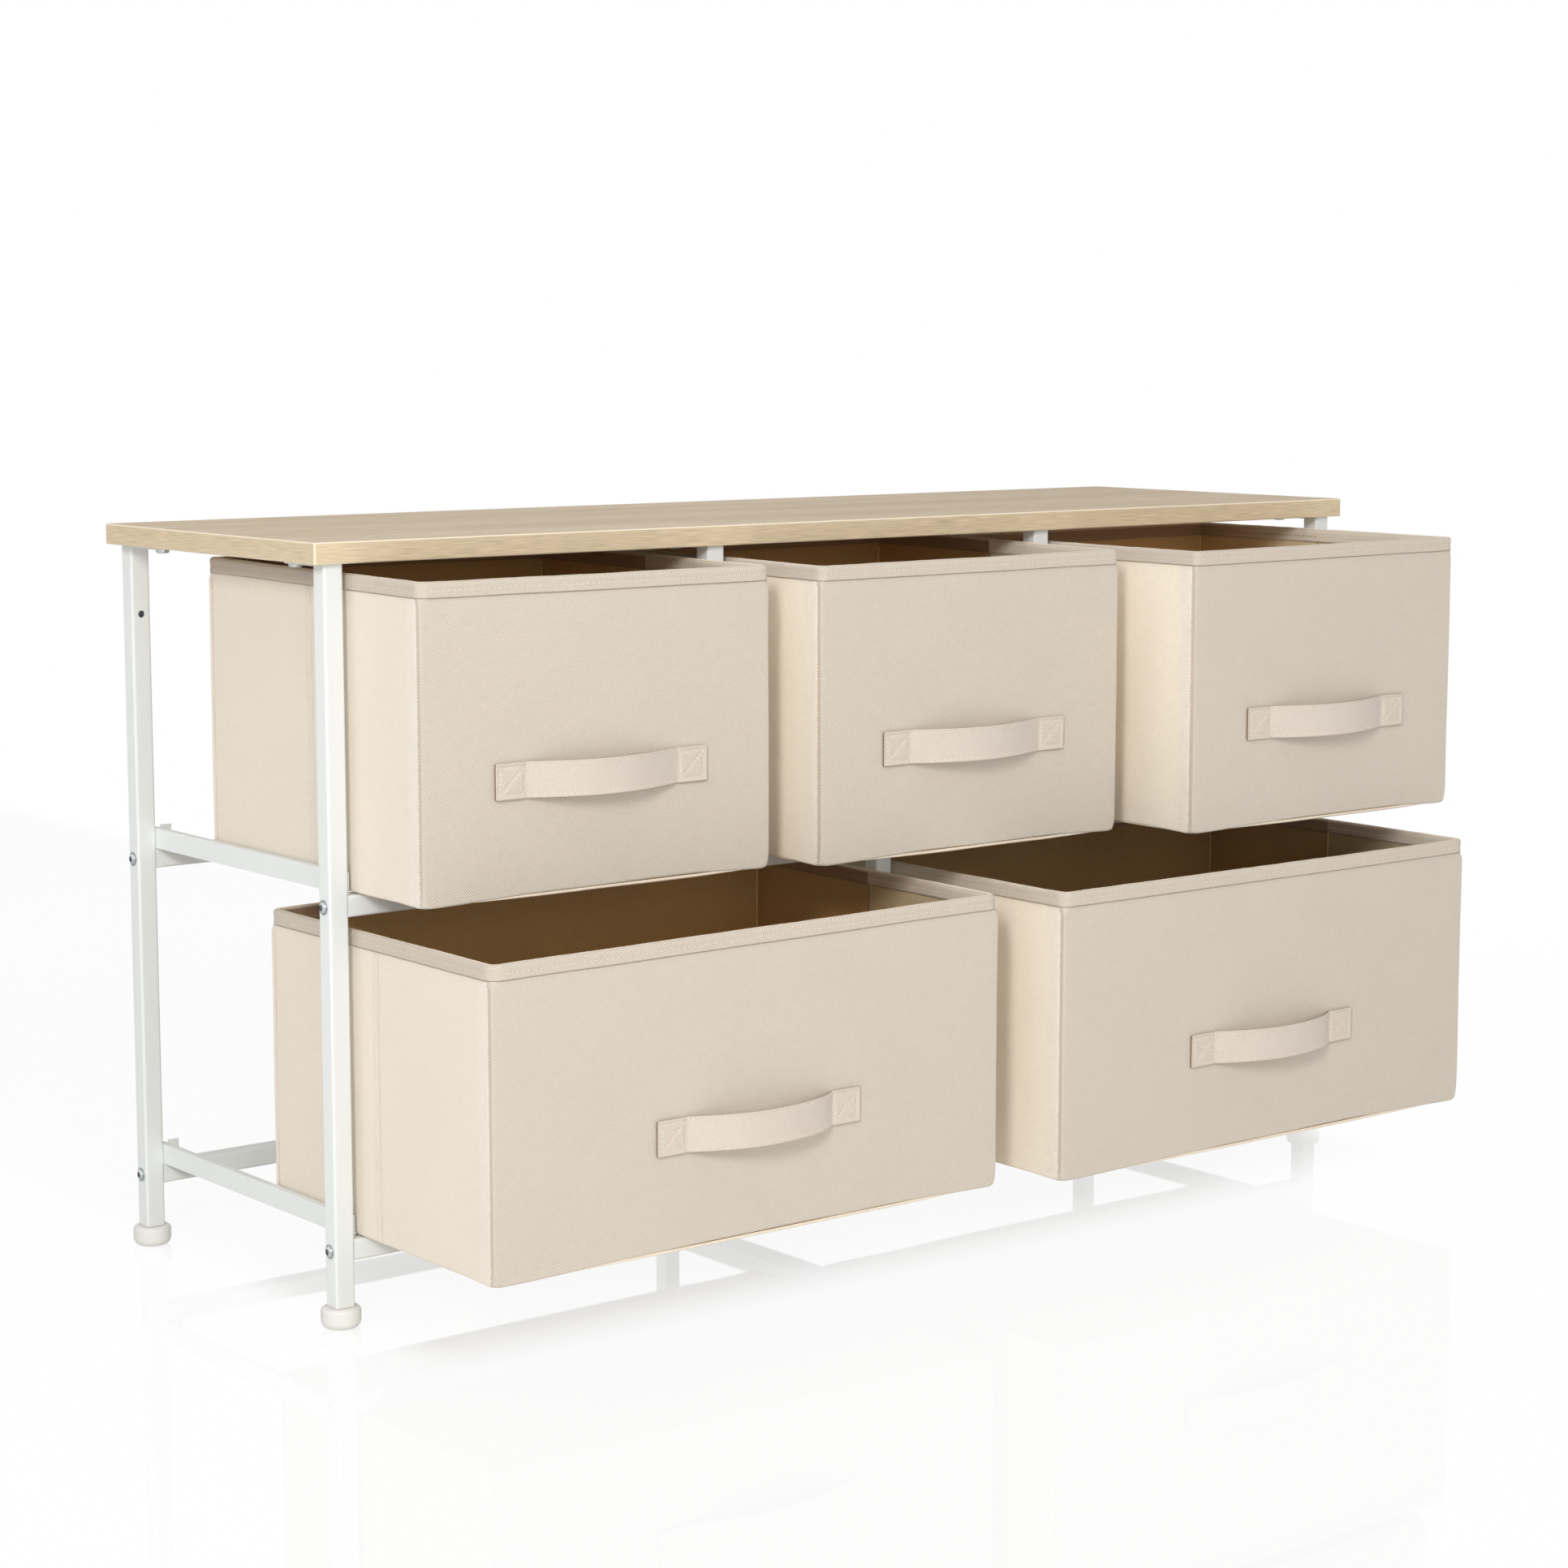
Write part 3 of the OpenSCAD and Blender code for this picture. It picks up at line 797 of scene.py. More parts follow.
@dataclass(frozen=True)
class Fibreboard(Finish):
    """Bare hardboard, pressed from brown fibres."""

    light: Colour
    dark: Colour

    def draw(self, graph: Graph) -> bpy.types.Node:
        """Draws the fibres.

        Args:
            graph: the graph to draw in.

        Returns:
            The shader node that ends the finish's nodes.
        """
        fibres = graph.grain(graph.place((1.0, 1.0, 0.4)), 700.0, 4.0, 0.7)
        colour = graph.blend(fibres, self.dark, self.light)
        return graph.surface(colour, 0.9 - fibres * 0.1, fibres, 0.08 * MM)


@dataclass(frozen=True)
class Thread(Finish):
    """Twisted sewing thread."""

    colour: Colour

    def draw(self, graph: Graph) -> bpy.types.Node:
        """Draws the thread.

        Args:
            graph: the graph to draw in.

        Returns:
            The shader node that ends the finish's nodes.
        """
        twist = graph.speckle(2400.0, 1.0)
        return graph.surface(graph.lit(self.colour, 0.86 + twist * 0.28), 0.5 + twist * 0.2, twist, 0.04 * MM)


FLOOR_CLOTH = Twill("floor_twill", "drawer_fabric", tone(248, 236, 218), tone(230, 214, 190))
STRAP_CLOTH = Twill("strap_twill", "strap_webbing", tone(250, 240, 230), tone(166, 150, 136), rib=1.65 * MM)
STRAP_END = Twill("strap_end", "strap_webbing", tone(248, 238, 226), tone(164, 149, 133), rib=1.65 * MM)
# painted shadow: dark tones on the strap's edges for the shadow line beneath it
STRAP_EDGE_SHADE = Twill("strap_edge_shade", "strap_webbing", tone(158, 136, 112), tone(124, 102, 80))
BOARD_COVER = BoardCover("board_cover", "covered_board", tone(190, 165, 130), tone(158, 132, 98))
HARDBOARD = Fibreboard("hardboard", "stiffening_board", tone(150, 115, 80), tone(100, 72, 48))
WHITE_COAT = PowderCoat("white_powder_coat", "white_frame", tone(230, 233, 232))
WHITE_PLASTIC = Plastic("white_plastic_moulded", "white_plastic", tone(229, 228, 224))
ZINC_PLATE = Zinc("zinc_plate", "zinc_steel", tone(214, 217, 218), tone(190, 202, 206))
LIGHT_THREAD = Thread("light_thread", "hem_fabric", tone(232, 221, 206))
SHADED_THREAD = Thread("shaded_thread", "hem_fabric", tone(140, 108, 74))
SEAM_THREAD = Thread("seam_thread", "drawer_fabric", tone(206, 172, 146))
GOLD_THREAD = Thread("gold_thread", "drawer_fabric", tone(255, 224, 156))


@dataclass(frozen=True)
class Cloths:
    """The cloths of one drawer; drawers differ a little in painted light and shade and in how plainly the
    weave shows.
    """

    front: Finish
    sides: Finish
    inside: Finish
    hem: Finish


def cut_cloths(drawer: str, contrast: float, pale_sides: bool, level: float, daylight: Daylight) -> Cloths:
    """Makes the cloths of a drawer.

    Args:
        drawer: the drawer's name.
        contrast: how plainly the front's ribs show, up to 1.
        pale_sides: whether the sides are painted paler still, as painted light, and their weave shows.
        level: the painted brightness of the inside, as painted light and shade.
        daylight: how far painted daylight comes in.

    Returns:
        The cloths.
    """
    # Side tones are lighter than the front's, painted light on the same cloth; pale sides are painted lighter
    # still, and the strip tone is the pale of the painted highlight near the front.
    if pale_sides:
        side_tones, strip, ground = (tone(251, 241, 226), tone(245, 232, 213)), tone(248, 239, 227), 1.7
    else:
        side_tones, strip, ground = (tone(240, 231, 217), tone(230, 219, 203)), tone(240, 231, 219), 0.3
    front_tones = (tone(252, 244, 232), tone(143, 126, 107))
    # The inside tones are darker and browner than the cloth, as painted shade.
    shaded_inside_tones = (tone(226, 190, 134), tone(160, 124, 78))
    hem_tones = (tone(243, 232, 219), tone(158, 143, 127))
    fabric = "drawer_fabric"
    return Cloths(
        Twill("front_twill_" + drawer, fabric, *front_tones, contrast=contrast),
        SideTwill("side_twill_" + drawer, fabric, *side_tones, strip_colour=strip, ground=ground),
        InsideTwill("inside_twill_" + drawer, fabric, *shaded_inside_tones, level=level, daylight=daylight),
        Tape("hem_tape_" + drawer, "hem_fabric", *hem_tones, daylight=daylight),
    )


def dress(node: str, finish: Finish) -> None:
    """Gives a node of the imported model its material.

    Args:
        node: the node's name.
        finish: what it is dressed in.
    """
    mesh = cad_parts[node].data
    mesh.materials.clear()
    mesh.materials.append(finish.material())


# ---- Plans and lofts ----


class Side(Enum):
    """The four sides of a drawer, in order round it."""

    FRONT = 0
    RIGHT = 1
    BACK = 2
    LEFT = 3


@dataclass(frozen=True)
class Place:
    """A place on a plan: on a side's straight part, or on the corner where the side starts."""

    side: Side
    along: float
    turn: Optional[float] = None


@dataclass(frozen=True)
class Plan:
    """The rectangle of a drawer seen from above; its corners can be rounded and its sides set in."""

    lo: Vector
    hi: Vector
    corner_zone: float = 17 * MM
    corner_steps: int = 5

    def length(self, side: Side) -> float:
        """Returns a side's length."""
        size = self.hi - self.lo
        return size.x if side in (Side.FRONT, Side.BACK) else size.y

    def axes(self, side: Side) -> tuple[Vector, Vector, Vector]:
        """Finds a side.

        Args:
            side: which side it is.

        Returns:
            The corner where it starts, its direction and the way in from it.
        """
        lo, hi = self.lo, self.hi
        return {
            Side.FRONT: (Vector((lo.x, lo.y)), Vector((1, 0)), Vector((0, 1))),
            Side.RIGHT: (Vector((hi.x, lo.y)), Vector((0, 1)), Vector((-1, 0))),
            Side.BACK: (Vector((hi.x, hi.y)), Vector((-1, 0)), Vector((0, -1))),
            Side.LEFT: (Vector((lo.x, hi.y)), Vector((0, -1)), Vector((1, 0))),
        }[side]

    def places(self, spacing: float, marks: Sequence[float] = (), fold: float = 0.0) -> list[Place]:
        """Lists places all the way round.

        Args:
            spacing: the distance between places on the straight parts.
            marks: distances from each end of a side that get a place of their own.
            fold: half the width of the folds half way along the left and right sides, which get finer places.

        Returns:
            The places, in order from the front left corner.
        """
        found = []
        for side in Side:
            length = self.length(side)
            steps = range(self.corner_steps + 1)
            found += [Place(side, 0.0, math.pi / 2 * step / self.corner_steps) for step in steps]
            zone = self.corner_zone
            shares = {zone * share for share in (0.12, 0.25, 0.4, 0.6, 0.8)}
            near = sorted(shares | {mark for mark in marks if mark < zone})
            count = max(2, round((length - 2 * zone) / spacing))
            straight = near + spread(zone, length - zone, count) + [length - a for a in reversed(near)]
            if fold and side in (Side.LEFT, Side.RIGHT):
                fine = spread(length / 2 - 1.2 * fold, length / 2 + 1.2 * fold, 6)
                straight = sorted([a for a in straight if abs(a - length / 2) > 1.5 * fold] + fine)
            found += [Place(side, a) for a in straight]
        return found

    def point(self, place: Place, inset: float, radius: float) -> Vector:
        """Finds a place.

        Args:
            place: the place.
            inset: how far the whole outline is set in.
            radius: the corners' radius there.

        Returns:
            The point, with x and y alone.
        """
        start, along, inward = self.axes(place.side)
        if place.turn is not None:
            centre = start + (along + inward) * (inset + radius)
            return centre - (along * math.cos(place.turn) + inward * math.sin(place.turn)) * radius
        length = self.length(place.side)
        from_end = min(place.along, length - place.along)
        if from_end < self.corner_zone:
            share = from_end / self.corner_zone
            moved = (inset + radius) * (1 - share) + self.corner_zone * share
        else:
            moved = from_end
        distance = moved if place.along < length / 2 else length - moved
        return start + along * distance + inward * inset


@dataclass(frozen=True)
class Station:
    """One ring of a loft: how far it is set in, its height, corner radius and place across the cloth."""

    inset: float
    height: float
    radius: float
    across: float


class Loft:
    """A piece made of rings round a plan, each extruded from the one before."""

    def __init__(self, plan: Plan, places: Sequence[Place]) -> None:
        """Starts a loft.

        Args:
            plan: the outline that the rings follow.
            places: the places round it that hold the rings' points.
        """
        self.plan = plan
        self.places = list(places)
        self.bm = bmesh.new()
        self.map = self.bm.loops.layers.uv.new(CLOTH_MAP)
        self.behind = self.bm.verts.layers.float.new(BEHIND)
        self.across = self.bm.verts.layers.float.new("across")
        self.order = self.bm.verts.layers.int.new("order")
        self.edges: list[bmesh.types.BMEdge] = []

    def ring(self, station: Station) -> None:
        """Adds a ring, extruded from the last one where there is one.

        Args:
            station: where the ring goes.
        """
        if not self.edges:
            made = bmesh.ops.create_circle(self.bm, cap_ends=False, radius=1.0, segments=len(self.places))
            verts = made["verts"]
            for index, vert in enumerate(verts):
                vert[self.order] = index
            self.edges = list({edge for vert in verts for edge in vert.link_edges})
        else:
            made = bmesh.ops.extrude_edge_only(self.bm, edges=self.edges)["geom"]
            verts = [item for item in made if isinstance(item, bmesh.types.BMVert)]
            inside = set(verts)
            self.edges = [item for item in made if isinstance(item, bmesh.types.BMEdge)
                          and item.verts[0] in inside and item.verts[1] in inside]
        for vert in verts:
            place = self.places[vert[self.order]]
            point = self.plan.point(place, station.inset, station.radius)
            vert.co = (point.x, point.y, station.height)
            vert[self.behind] = point.y - self.plan.lo.y
            vert[self.across] = station.across

    def close(self) -> None:
        """Joins the last ring to the first."""
        bmesh.ops.bridge_loops(self.bm, edges=[edge for edge in self.bm.edges if edge.is_boundary])

    def cap(self) -> None:
        """Fills the open ring at each end."""
        bmesh.ops.holes_fill(self.bm, edges=[edge for edge in self.bm.edges if edge.is_boundary], sides=0)

    def shift(self, rule: Callable[[bmesh.types.BMVert], float]) -> None:
        """Moves each point outwards along its normal.

        Args:
            rule: gives how far a point moves.
        """
        self.bm.normal_update()
        moves = [(vert, vert.normal * rule(vert)) for vert in self.bm.verts]
        for vert, move in moves:
            vert.co += move

    def lay_cloth(self) -> None:
        """Lays the cloth map: the distance round from the front left corner, and the place across it."""
        lo, hi = self.plan.lo, self.plan.hi
        middle = (lo + hi) / 2
        for face in self.bm.faces:
            centre = face.calc_center_median()
            front = centre.y < middle.y
            for loop in face.loops:
                x, y = loop.vert.co.x - lo.x, loop.vert.co.y - lo.y
                if centre.x < middle.x:
                    u = (x if front else -x) - y
                else:
                    u = y + (x if front else 2 * (hi.x - lo.x) - x)
                loop[self.map].uv = (u, loop.vert[self.across])

    def paint(self, rule: Callable[[bmesh.types.BMFace], int]) -> None:
        """Gives each face the material whose number a rule tells."""
        for face in self.bm.faces:
            face.material_index = rule(face)

    def finish(self, name: str, finishes: Sequence[Finish], body: str) -> bpy.types.Object:
        """Makes the object; see finish_mesh."""
        self.bm.normal_update()
        return finish_mesh(self.bm, name, finishes, body)


def finish_mesh(bm: bmesh.types.BMesh, name: str, finishes: Sequence[Finish], body: str) -> bpy.types.Object:
    """Turns a bmesh into a smooth object that rides on a body.

    Args:
        bm: the mesh, which is freed.
        name: the piece's name.
        finishes: its materials, in order.
        body: the body that it rides on.

    Returns:
        The object.
    """
    for face in bm.faces:
        face.smooth = True
    mesh = bpy.data.meshes.new(name)
    bm.to_mesh(mesh)
    bm.free()
    for finish in finishes:
        mesh.materials.append(finish.material())
    piece = bpy.data.objects.new(name, mesh)
    bpy.context.scene.collection.objects.link(piece)
    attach(piece, body)
    log.info("%s: %d faces on %s", name, len(mesh.polygons), body)
    return piece


def thicken(piece: bpy.types.Object, thickness: float, rim: int = 0) -> None:
    """Gives a sheet its thickness, behind its faces.

    Args:
        piece: the sheet.
        thickness: how thick it is.
        rim: how much higher the material number of its edges is.
    """
    solid = piece.modifiers.new("thickness", "SOLIDIFY")
    solid.thickness = thickness
    solid.offset = -1.0
    solid.use_even_offset = True
    solid.material_offset_rim = rim


def turn_outwards(bm: bmesh.types.BMesh, away: Vector) -> None:
    """Makes an open sheet face one way.

    Args:
        bm: the sheet.
        away: the way that most of it faces.
    """
    bmesh.ops.recalc_face_normals(bm, faces=bm.faces)
    if sum(face.normal.dot(away) * face.calc_area() for face in bm.faces) < 0:
        bmesh.ops.reverse_faces(bm, faces=bm.faces)


# ---- Sewing ----


@dataclass(frozen=True)
class Stitch:
    """How a run of stitches is sewn."""

    pitch: float
    length: float
    thick: float
    slant: float = 0.0


HEM_STITCH = Stitch(pitch=4.4 * MM, length=3.4 * MM, thick=0.5 * MM, slant=0.2)
SEAM_STITCH = Stitch(pitch=2.2 * MM, length=1.7 * MM, thick=0.5 * MM)
INNER_STITCH = Stitch(pitch=2.2 * MM, length=1.8 * MM, thick=1.3 * MM)
STRAP_STITCH = Stitch(pitch=2.8 * MM, length=2.1 * MM, thick=0.55 * MM)


class Sewing:
    """Stitches laid on a piece, as small beads of thread."""

    SEGMENTS = 6
    RINGS = 4

    def __init__(self, finishes: Sequence[Finish]) -> None:
        """Starts with no stitches.

        Args:
            finishes: the threads that it may use, in order.
        """
        self.finishes = list(finishes)
        self.bm = bmesh.new()

    def run(self, path: Sequence[Vector], out: Vector, stitch: Stitch, thread: int = 0) -> None:
        """Sews along a path.

        Args:
            path: its points.
            out: the way that the cloth faces.
            stitch: how it is sewn.
            thread: which of the threads it is.
        """
        lengths = [(last - first).length for first, last in zip(path, path[1:])]
        total = sum(lengths)
        count = max(1, int(total / stitch.pitch))
        beads = bmesh.new()
        walked, leg = 0.0, 0
        for index in range(count):
            goal = total / count * (index + 0.5)
            while leg < len(lengths) - 1 and walked + lengths[leg] < goal:
                walked += lengths[leg]
                leg += 1
            way = (path[leg + 1] - path[leg]).normalized()
            lean = out.cross(way).normalized() * (stitch.slant if index % 2 else -stitch.slant)
            self._bead(beads, path[leg] + way * (goal - walked), way + lean, out, stitch)
        for face in beads.faces:
            face.material_index = thread
        mesh = bpy.data.meshes.new("run")
        beads.to_mesh(mesh)
        beads.free()
        self.bm.from_mesh(mesh)
        bpy.data.meshes.remove(mesh)

    def _bead(self, bm: bmesh.types.BMesh, centre: Vector, way: Vector, out: Vector, stitch: Stitch) -> None:
        """Lays one stitch.

        Args:
            bm: the mesh that takes it.
            centre: the stitch's middle.
            way: the way that it runs.
            out: the way that the cloth faces.
            stitch: how it is sewn.
        """
        along = way.normalized()
        side = out.cross(along).normalized()
        turn = Matrix((along, side, along.cross(side))).transposed().to_4x4()
        size = Matrix.Diagonal((stitch.length / 2, stitch.thick / 2, stitch.thick / 2, 1.0))
        bmesh.ops.create_uvsphere(bm, u_segments=self.SEGMENTS, v_segments=self.RINGS, radius=1.0,
                                  matrix=Matrix.Translation(centre) @ turn @ size)

    def finish(self, name: str, body: str) -> bpy.types.Object:
        """Makes the stitches one piece; see finish_mesh."""
        return finish_mesh(self.bm, name, self.finishes, body)


# ---- Drawers ----


@dataclass
class FabricDrawer:
    """A drawer: cloth walls sewn round boards, a floor, a hem, seams and a strap."""

    name: str
    seed: int
    cloths: Cloths
    slack: tuple[float, float, float, float] = (0.0, 0.0, 0.0, 0.0)
    wall: float = 4.0 * MM
    lift: float = 3.0 * MM
    crisp: float = 1.0 * MM
    rim_radius: float = 4.5 * MM
    round_from: float = 17.0 * MM
    round_by: float = 9.0 * MM
    foot_radius: float = 9.0 * MM
    foot_height: float = 10.0 * MM
    foot_gap: float = 0.3 * MM
    turn_under: float = 1.4 * MM
    inner_radius: float = 1.2 * MM
    row: float = 7.0 * MM
    spacing: float = 7.0 * MM
    seam_behind: float = 4.6 * MM
    seam_half: float = 0.9 * MM
    seam_depth: float = 0.35 * MM
    seam_width: float = 0.7 * MM
    thread_out: float = 0.02 * MM
    seam_in: float = 0.22 * MM
    corner_in: float = 0.7 * MM
    fold_in: float = 0.4 * MM
    foot_fade: float = 25 * MM
    rim_fade: float = 20 * MM
    fold_half: float = 4.0 * MM
    fold_depth: float = 0.7 * MM
    hem_height: float = 11.0 * MM
    hem_out: float = 0.9 * MM
    hem_thick: float = 0.8 * MM
    hem_stitch: float = 4.4 * MM
    hem_spacing: float = 1.5 * MM
    hem_fold: float = 2.4 * MM
    hem_over: float = 5.0 * MM
    hem_pressed: float = 0.3 * MM
    floor_reach: float = 14 * MM
    floor_plate: float = 1.5 * MM
    welt_in: float = 0.5 * MM
    bow: float = 15.0 * MM
    fullness: float = 2.6
    sewn_fold: bool = False

    def __post_init__(self) -> None:
        """Reads the drawer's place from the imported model."""
        self.lo, self.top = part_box("drawer_" + self.name)
        _, hem_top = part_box("hem_" + self.name)
        self.hi = Vector((self.top.x, self.top.y, hem_top.z))
        self.plan = Plan(self.lo, self.hi)
        self.body = "drawer_%s_body" % self.name

    @property
    def middle(self) -> float:
        """How far behind the front the sides fold."""
        return (self.hi.y - self.lo.y) / 2

    def build(self) -> None:
        """Builds and dresses every piece of the drawer."""
        self.build_walls()
        self.build_floor()
        self.build_hem()
        Strap(self.name, self.body, self.lo.y, self.bow, self.seed, self.fullness).build()
        self.sew()
        dress("stiffeners_" + self.name, HARDBOARD)
        dress("base_board_" + self.name, BOARD_COVER)

    def corner_radius(self, height: float) -> float:
        """Gives the corners' radius at a height: crisp on the walls, rounder at the hem and at the foot.

        Args:
            height: the height above the ground.

        Returns:
            The radius.
        """
        foot = self.lo.z + self.lift
        share = 1 - min((height - foot) / self.foot_height, 1.0)
        low = (self.foot_radius - self.crisp) * (1 - math.sqrt(max(0.0, 1 - share * share)))
        rounded = ease(self.hi.z - self.round_from, self.hi.z - self.round_by, height)
        return self.crisp + low + (self.rim_radius - self.crisp) * rounded

    def ripple(self, point: Vector, fine: float, size: float) -> float:
        """Returns the cloth's unevenness at a point, of a given fineness per metre and size."""
        return noise.noise(point * fine + Vector((self.seed * 7.3, 0, 0))) * size

    def rise(self, point: Vector) -> float:
        """Gives how much higher the uneven walls stand at a point.

        Args:
            point: the point.

        Returns:
            The distance up, from the slack at the front left, front right, back right and back left corners.
        """
        size = self.hi - self.lo
        x, y, z = ((point[axis] - self.lo[axis]) / size[axis] for axis in range(3))
        front_left, front_right, back_right, back_left = self.slack
        front = front_left + (front_right - front_left) * x
        back = back_left + (back_right - back_left) * x
        return (front + (back - front) * y) * max(0.0, z)

    def hang(self, point: Vector) -> float:
        """Gives how much of the floor's edge shows under the walls, least at the corners.

        Args:
            point: a point near the foot of the walls.

        Returns:
            The share, from 0 to 1.
        """
        size = self.hi - self.lo
        share = (point.x - self.lo.x) / size.x
        depth = (point.y - self.lo.y) / size.y
        waves = 1 + self.ripple(point, fine=14.0, size=0.3)
        if min(depth, 1 - depth) * size.y < 3 * self.lift:
            return min(ease(0.0, 0.42, share) * ease(1.02, 0.72, share) * waves, 1.0)
        return 0.4 * ease(0.0, 0.2, depth) * ease(1.0, 0.8, depth) * waves

    def wall_stations(self) -> list[Station]:
        """Lists the rings of the walls.

        Returns:
            The rings, down the outside, under and up the inside.
        """
        top = self.top.z
        foot = self.lo.z + self.lift
        low = [foot + share * self.foot_height for share in (1.0, 0.8, 0.62, 0.46, 0.32, 0.2)]
        fine = [top - step * self.row * 0.3 for step in range(9)]
        start = fine[-1] - self.row * 0.6
        count = round((start - low[0]) / self.row)
        heights = fine + spread(start, low[0], count)[:-1] + low
        rings = [Station(0.0, z, self.corner_radius(z), z - foot) for z in heights]
        for _, cos, sin in arc(0, 91, 30):
            z = foot + self.turn_under * (1 - sin)
            rings.append(Station(self.turn_under * (1 - cos), z, self.corner_radius(z), z - foot))
        rings.append(Station(self.wall, foot, self.foot_radius - self.wall, -self.wall))
        inside = spread(foot + 3 * MM, top, count // 2)
        return rings + [Station(self.wall, z, self.inner_radius, foot - z - self.wall) for z in inside]

    def build_walls(self) -> None:
        """Builds the four cloth walls, closed over their boards."""
        marks = [self.seam_behind + self.seam_half * share for share in (-1, 0, 1)]
        loft = Loft(self.plan, self.plan.places(self.spacing, marks, self.fold_half))
        for station in self.wall_stations():
            loft.ring(station)
        loft.close()
        bmesh.ops.recalc_face_normals(loft.bm, faces=loft.bm.faces)
        foot = self.lo.z + self.lift

        def give(vert: bmesh.types.BMVert) -> float:
            """Gives how far the cloth stands out.

            Args:
                vert: the point on it.

            Returns:
                The distance out.
            """
            if vert[loft.across] < 0:
                return self.ripple(vert.co, fine=18.0, size=0.25 * MM)
            z = vert.co.z
            fade = ease(foot, foot + self.foot_fade, z) * ease(self.top.z, self.top.z - self.rim_fade, z)
            wide = self.ripple(vert.co, fine=9.0, size=0.5 * MM)
            out = (wide + self.ripple(vert.co, fine=26.0, size=0.18 * MM)) * fade
            if abs(vert.normal.x) > 0.9:
                behind = vert[loft.behind]
                out -= self.fold_depth * peak(behind, self.middle, 0.6 * self.fold_half)
                for seam in (self.seam_behind, 2 * self.middle - self.seam_behind):
                    out -= self.seam_depth * peak(behind, seam, self.seam_width)
            return out

        loft.shift(give)
        for vert in loft.bm.verts:
            if vert[loft.across] > -self.wall - 1 * MM:
                low = ease(foot + self.foot_height, foot, vert.co.z)
                vert.co.z -= (self.lift - self.foot_gap) * (1 - self.hang(vert.co)) * low
            vert.co.z += self.rise(vert.co)
        loft.lay_cloth()

        def material(face: bmesh.types.BMFace) -> int:
            """Tells the front, the other outer walls and the inside apart.

            Args:
                face: a face of the walls.

            Returns:
                The number of its material.
            """
            if min(vert[loft.across] for vert in face.verts) < -0.5 * MM:
                return 2
            behind = min(vert[loft.behind] for vert in face.verts)
            return 0 if behind < self.seam_behind - self.seam_half - 0.05 * MM else 1

        loft.paint(material)
        cloths = [self.cloths.front, self.cloths.sides, self.cloths.inside]
        piece = loft.finish("cloth_walls_" + self.name, cloths, self.body)
        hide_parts("drawer_" + self.name)

    def build_floor(self) -> None:
        """Builds the cloth floor with its welted edge, which shows as a pale strip under the walls."""
        loft = Loft(self.plan, self.plan.places(self.spacing))
        base = self.lo.z
        welt = self.lift / 2
        reach = self.floor_reach
        corner = self.foot_radius
        loft.ring(Station(reach, base + self.floor_plate, corner, 0.0))
        loft.ring(Station(2.6 * welt, base + self.floor_plate, corner, reach))
        for angle, cos, sin in arc(60, -91, -30):
            inset = self.welt_in + welt * (1 - cos)
            height = base + welt * (1 + sin) * 0.97
            loft.ring(Station(inset, height, corner, reach + welt * (math.radians(60) - angle)))
        loft.ring(Station(reach, base, corner, 2 * reach))
        loft.cap()
        bmesh.ops.recalc_face_normals(loft.bm, faces=loft.bm.faces)
        for vert in loft.bm.verts:
            rise = vert.co.z - base
            x, y = vert.co.xy
            from_edge = min(y - self.lo.y, self.hi.y - y, x - self.lo.x, self.hi.x - x)
            if from_edge < 3 * welt and rise < welt:
                vert.co.z += welt * 0.9 * (1 - self.hang(vert.co)) * (1 - rise / welt)
        loft.lay_cloth()
        loft.finish("cloth_floor_" + self.name, [FLOOR_CLOTH], self.body)

    def build_hem(self) -> None:
        """Builds the tape that is folded over the rim and pressed in by its stitches."""
        loft = Loft(self.plan, self.plan.places(self.hem_spacing))
        top = self.hi.z
        bottom = top - self.hem_height
        out = self.hem_out
        inner = self.wall + out
        fold = self.hem_fold
        outside = spread(bottom, top - fold, 7)
        rings = [Station(-out, z, self.rim_radius + out, z - bottom) for z in outside]
        for angle, cos, sin in arc(30, 180, 30):
            inset = -out + (inner + out) / 2 * (1 - cos)
            radius = max(self.rim_radius - inset, self.inner_radius)
            across = self.hem_height - fold + self.hem_over * angle / math.pi
            rings.append(Station(inset, top - fold * (1 - sin), radius, across))
        for z in spread(top - fold, bottom, 5):
            across = self.hem_height - fold + self.hem_over + top - fold - z
            rings.append(Station(inner, z, self.inner_radius, across))
        for station in rings:
            loft.ring(station)
        turn_outwards(loft.bm, Vector((0, 0, 1)))
        line = bottom + self.hem_stitch

        def press(vert: bmesh.types.BMVert) -> float:
            """Gives how far the tape puffs out between its stitches.

            Args:
                vert: the point on it.

            Returns:
                The distance out, less than 0 at the stitches.
            """
            place = loft.places[vert[loft.order]]
            beat = 0.65 + 0.35 * math.cos(2 * math.pi * place.along / HEM_STITCH.pitch)
            wide = self.ripple(vert.co, fine=60.0, size=0.16 * MM)
            pull = self.hem_pressed * peak(vert.co.z, line, 1.5 * MM) * beat
            return wide + self.ripple(vert.co, fine=220.0, size=0.1 * MM) - pull

        loft.shift(press)
        for vert in loft.bm.verts:
            vert.co.z += self.ripple(vert.co, fine=14.0, size=0.5 * MM) - 0.3 * MM + self.rise(vert.co)
        loft.lay_cloth()
        piece = loft.finish("hem_tape_" + self.name, [self.cloths.hem], self.body)
        thicken(piece, self.hem_thick)
        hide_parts("hem_" + self.name)

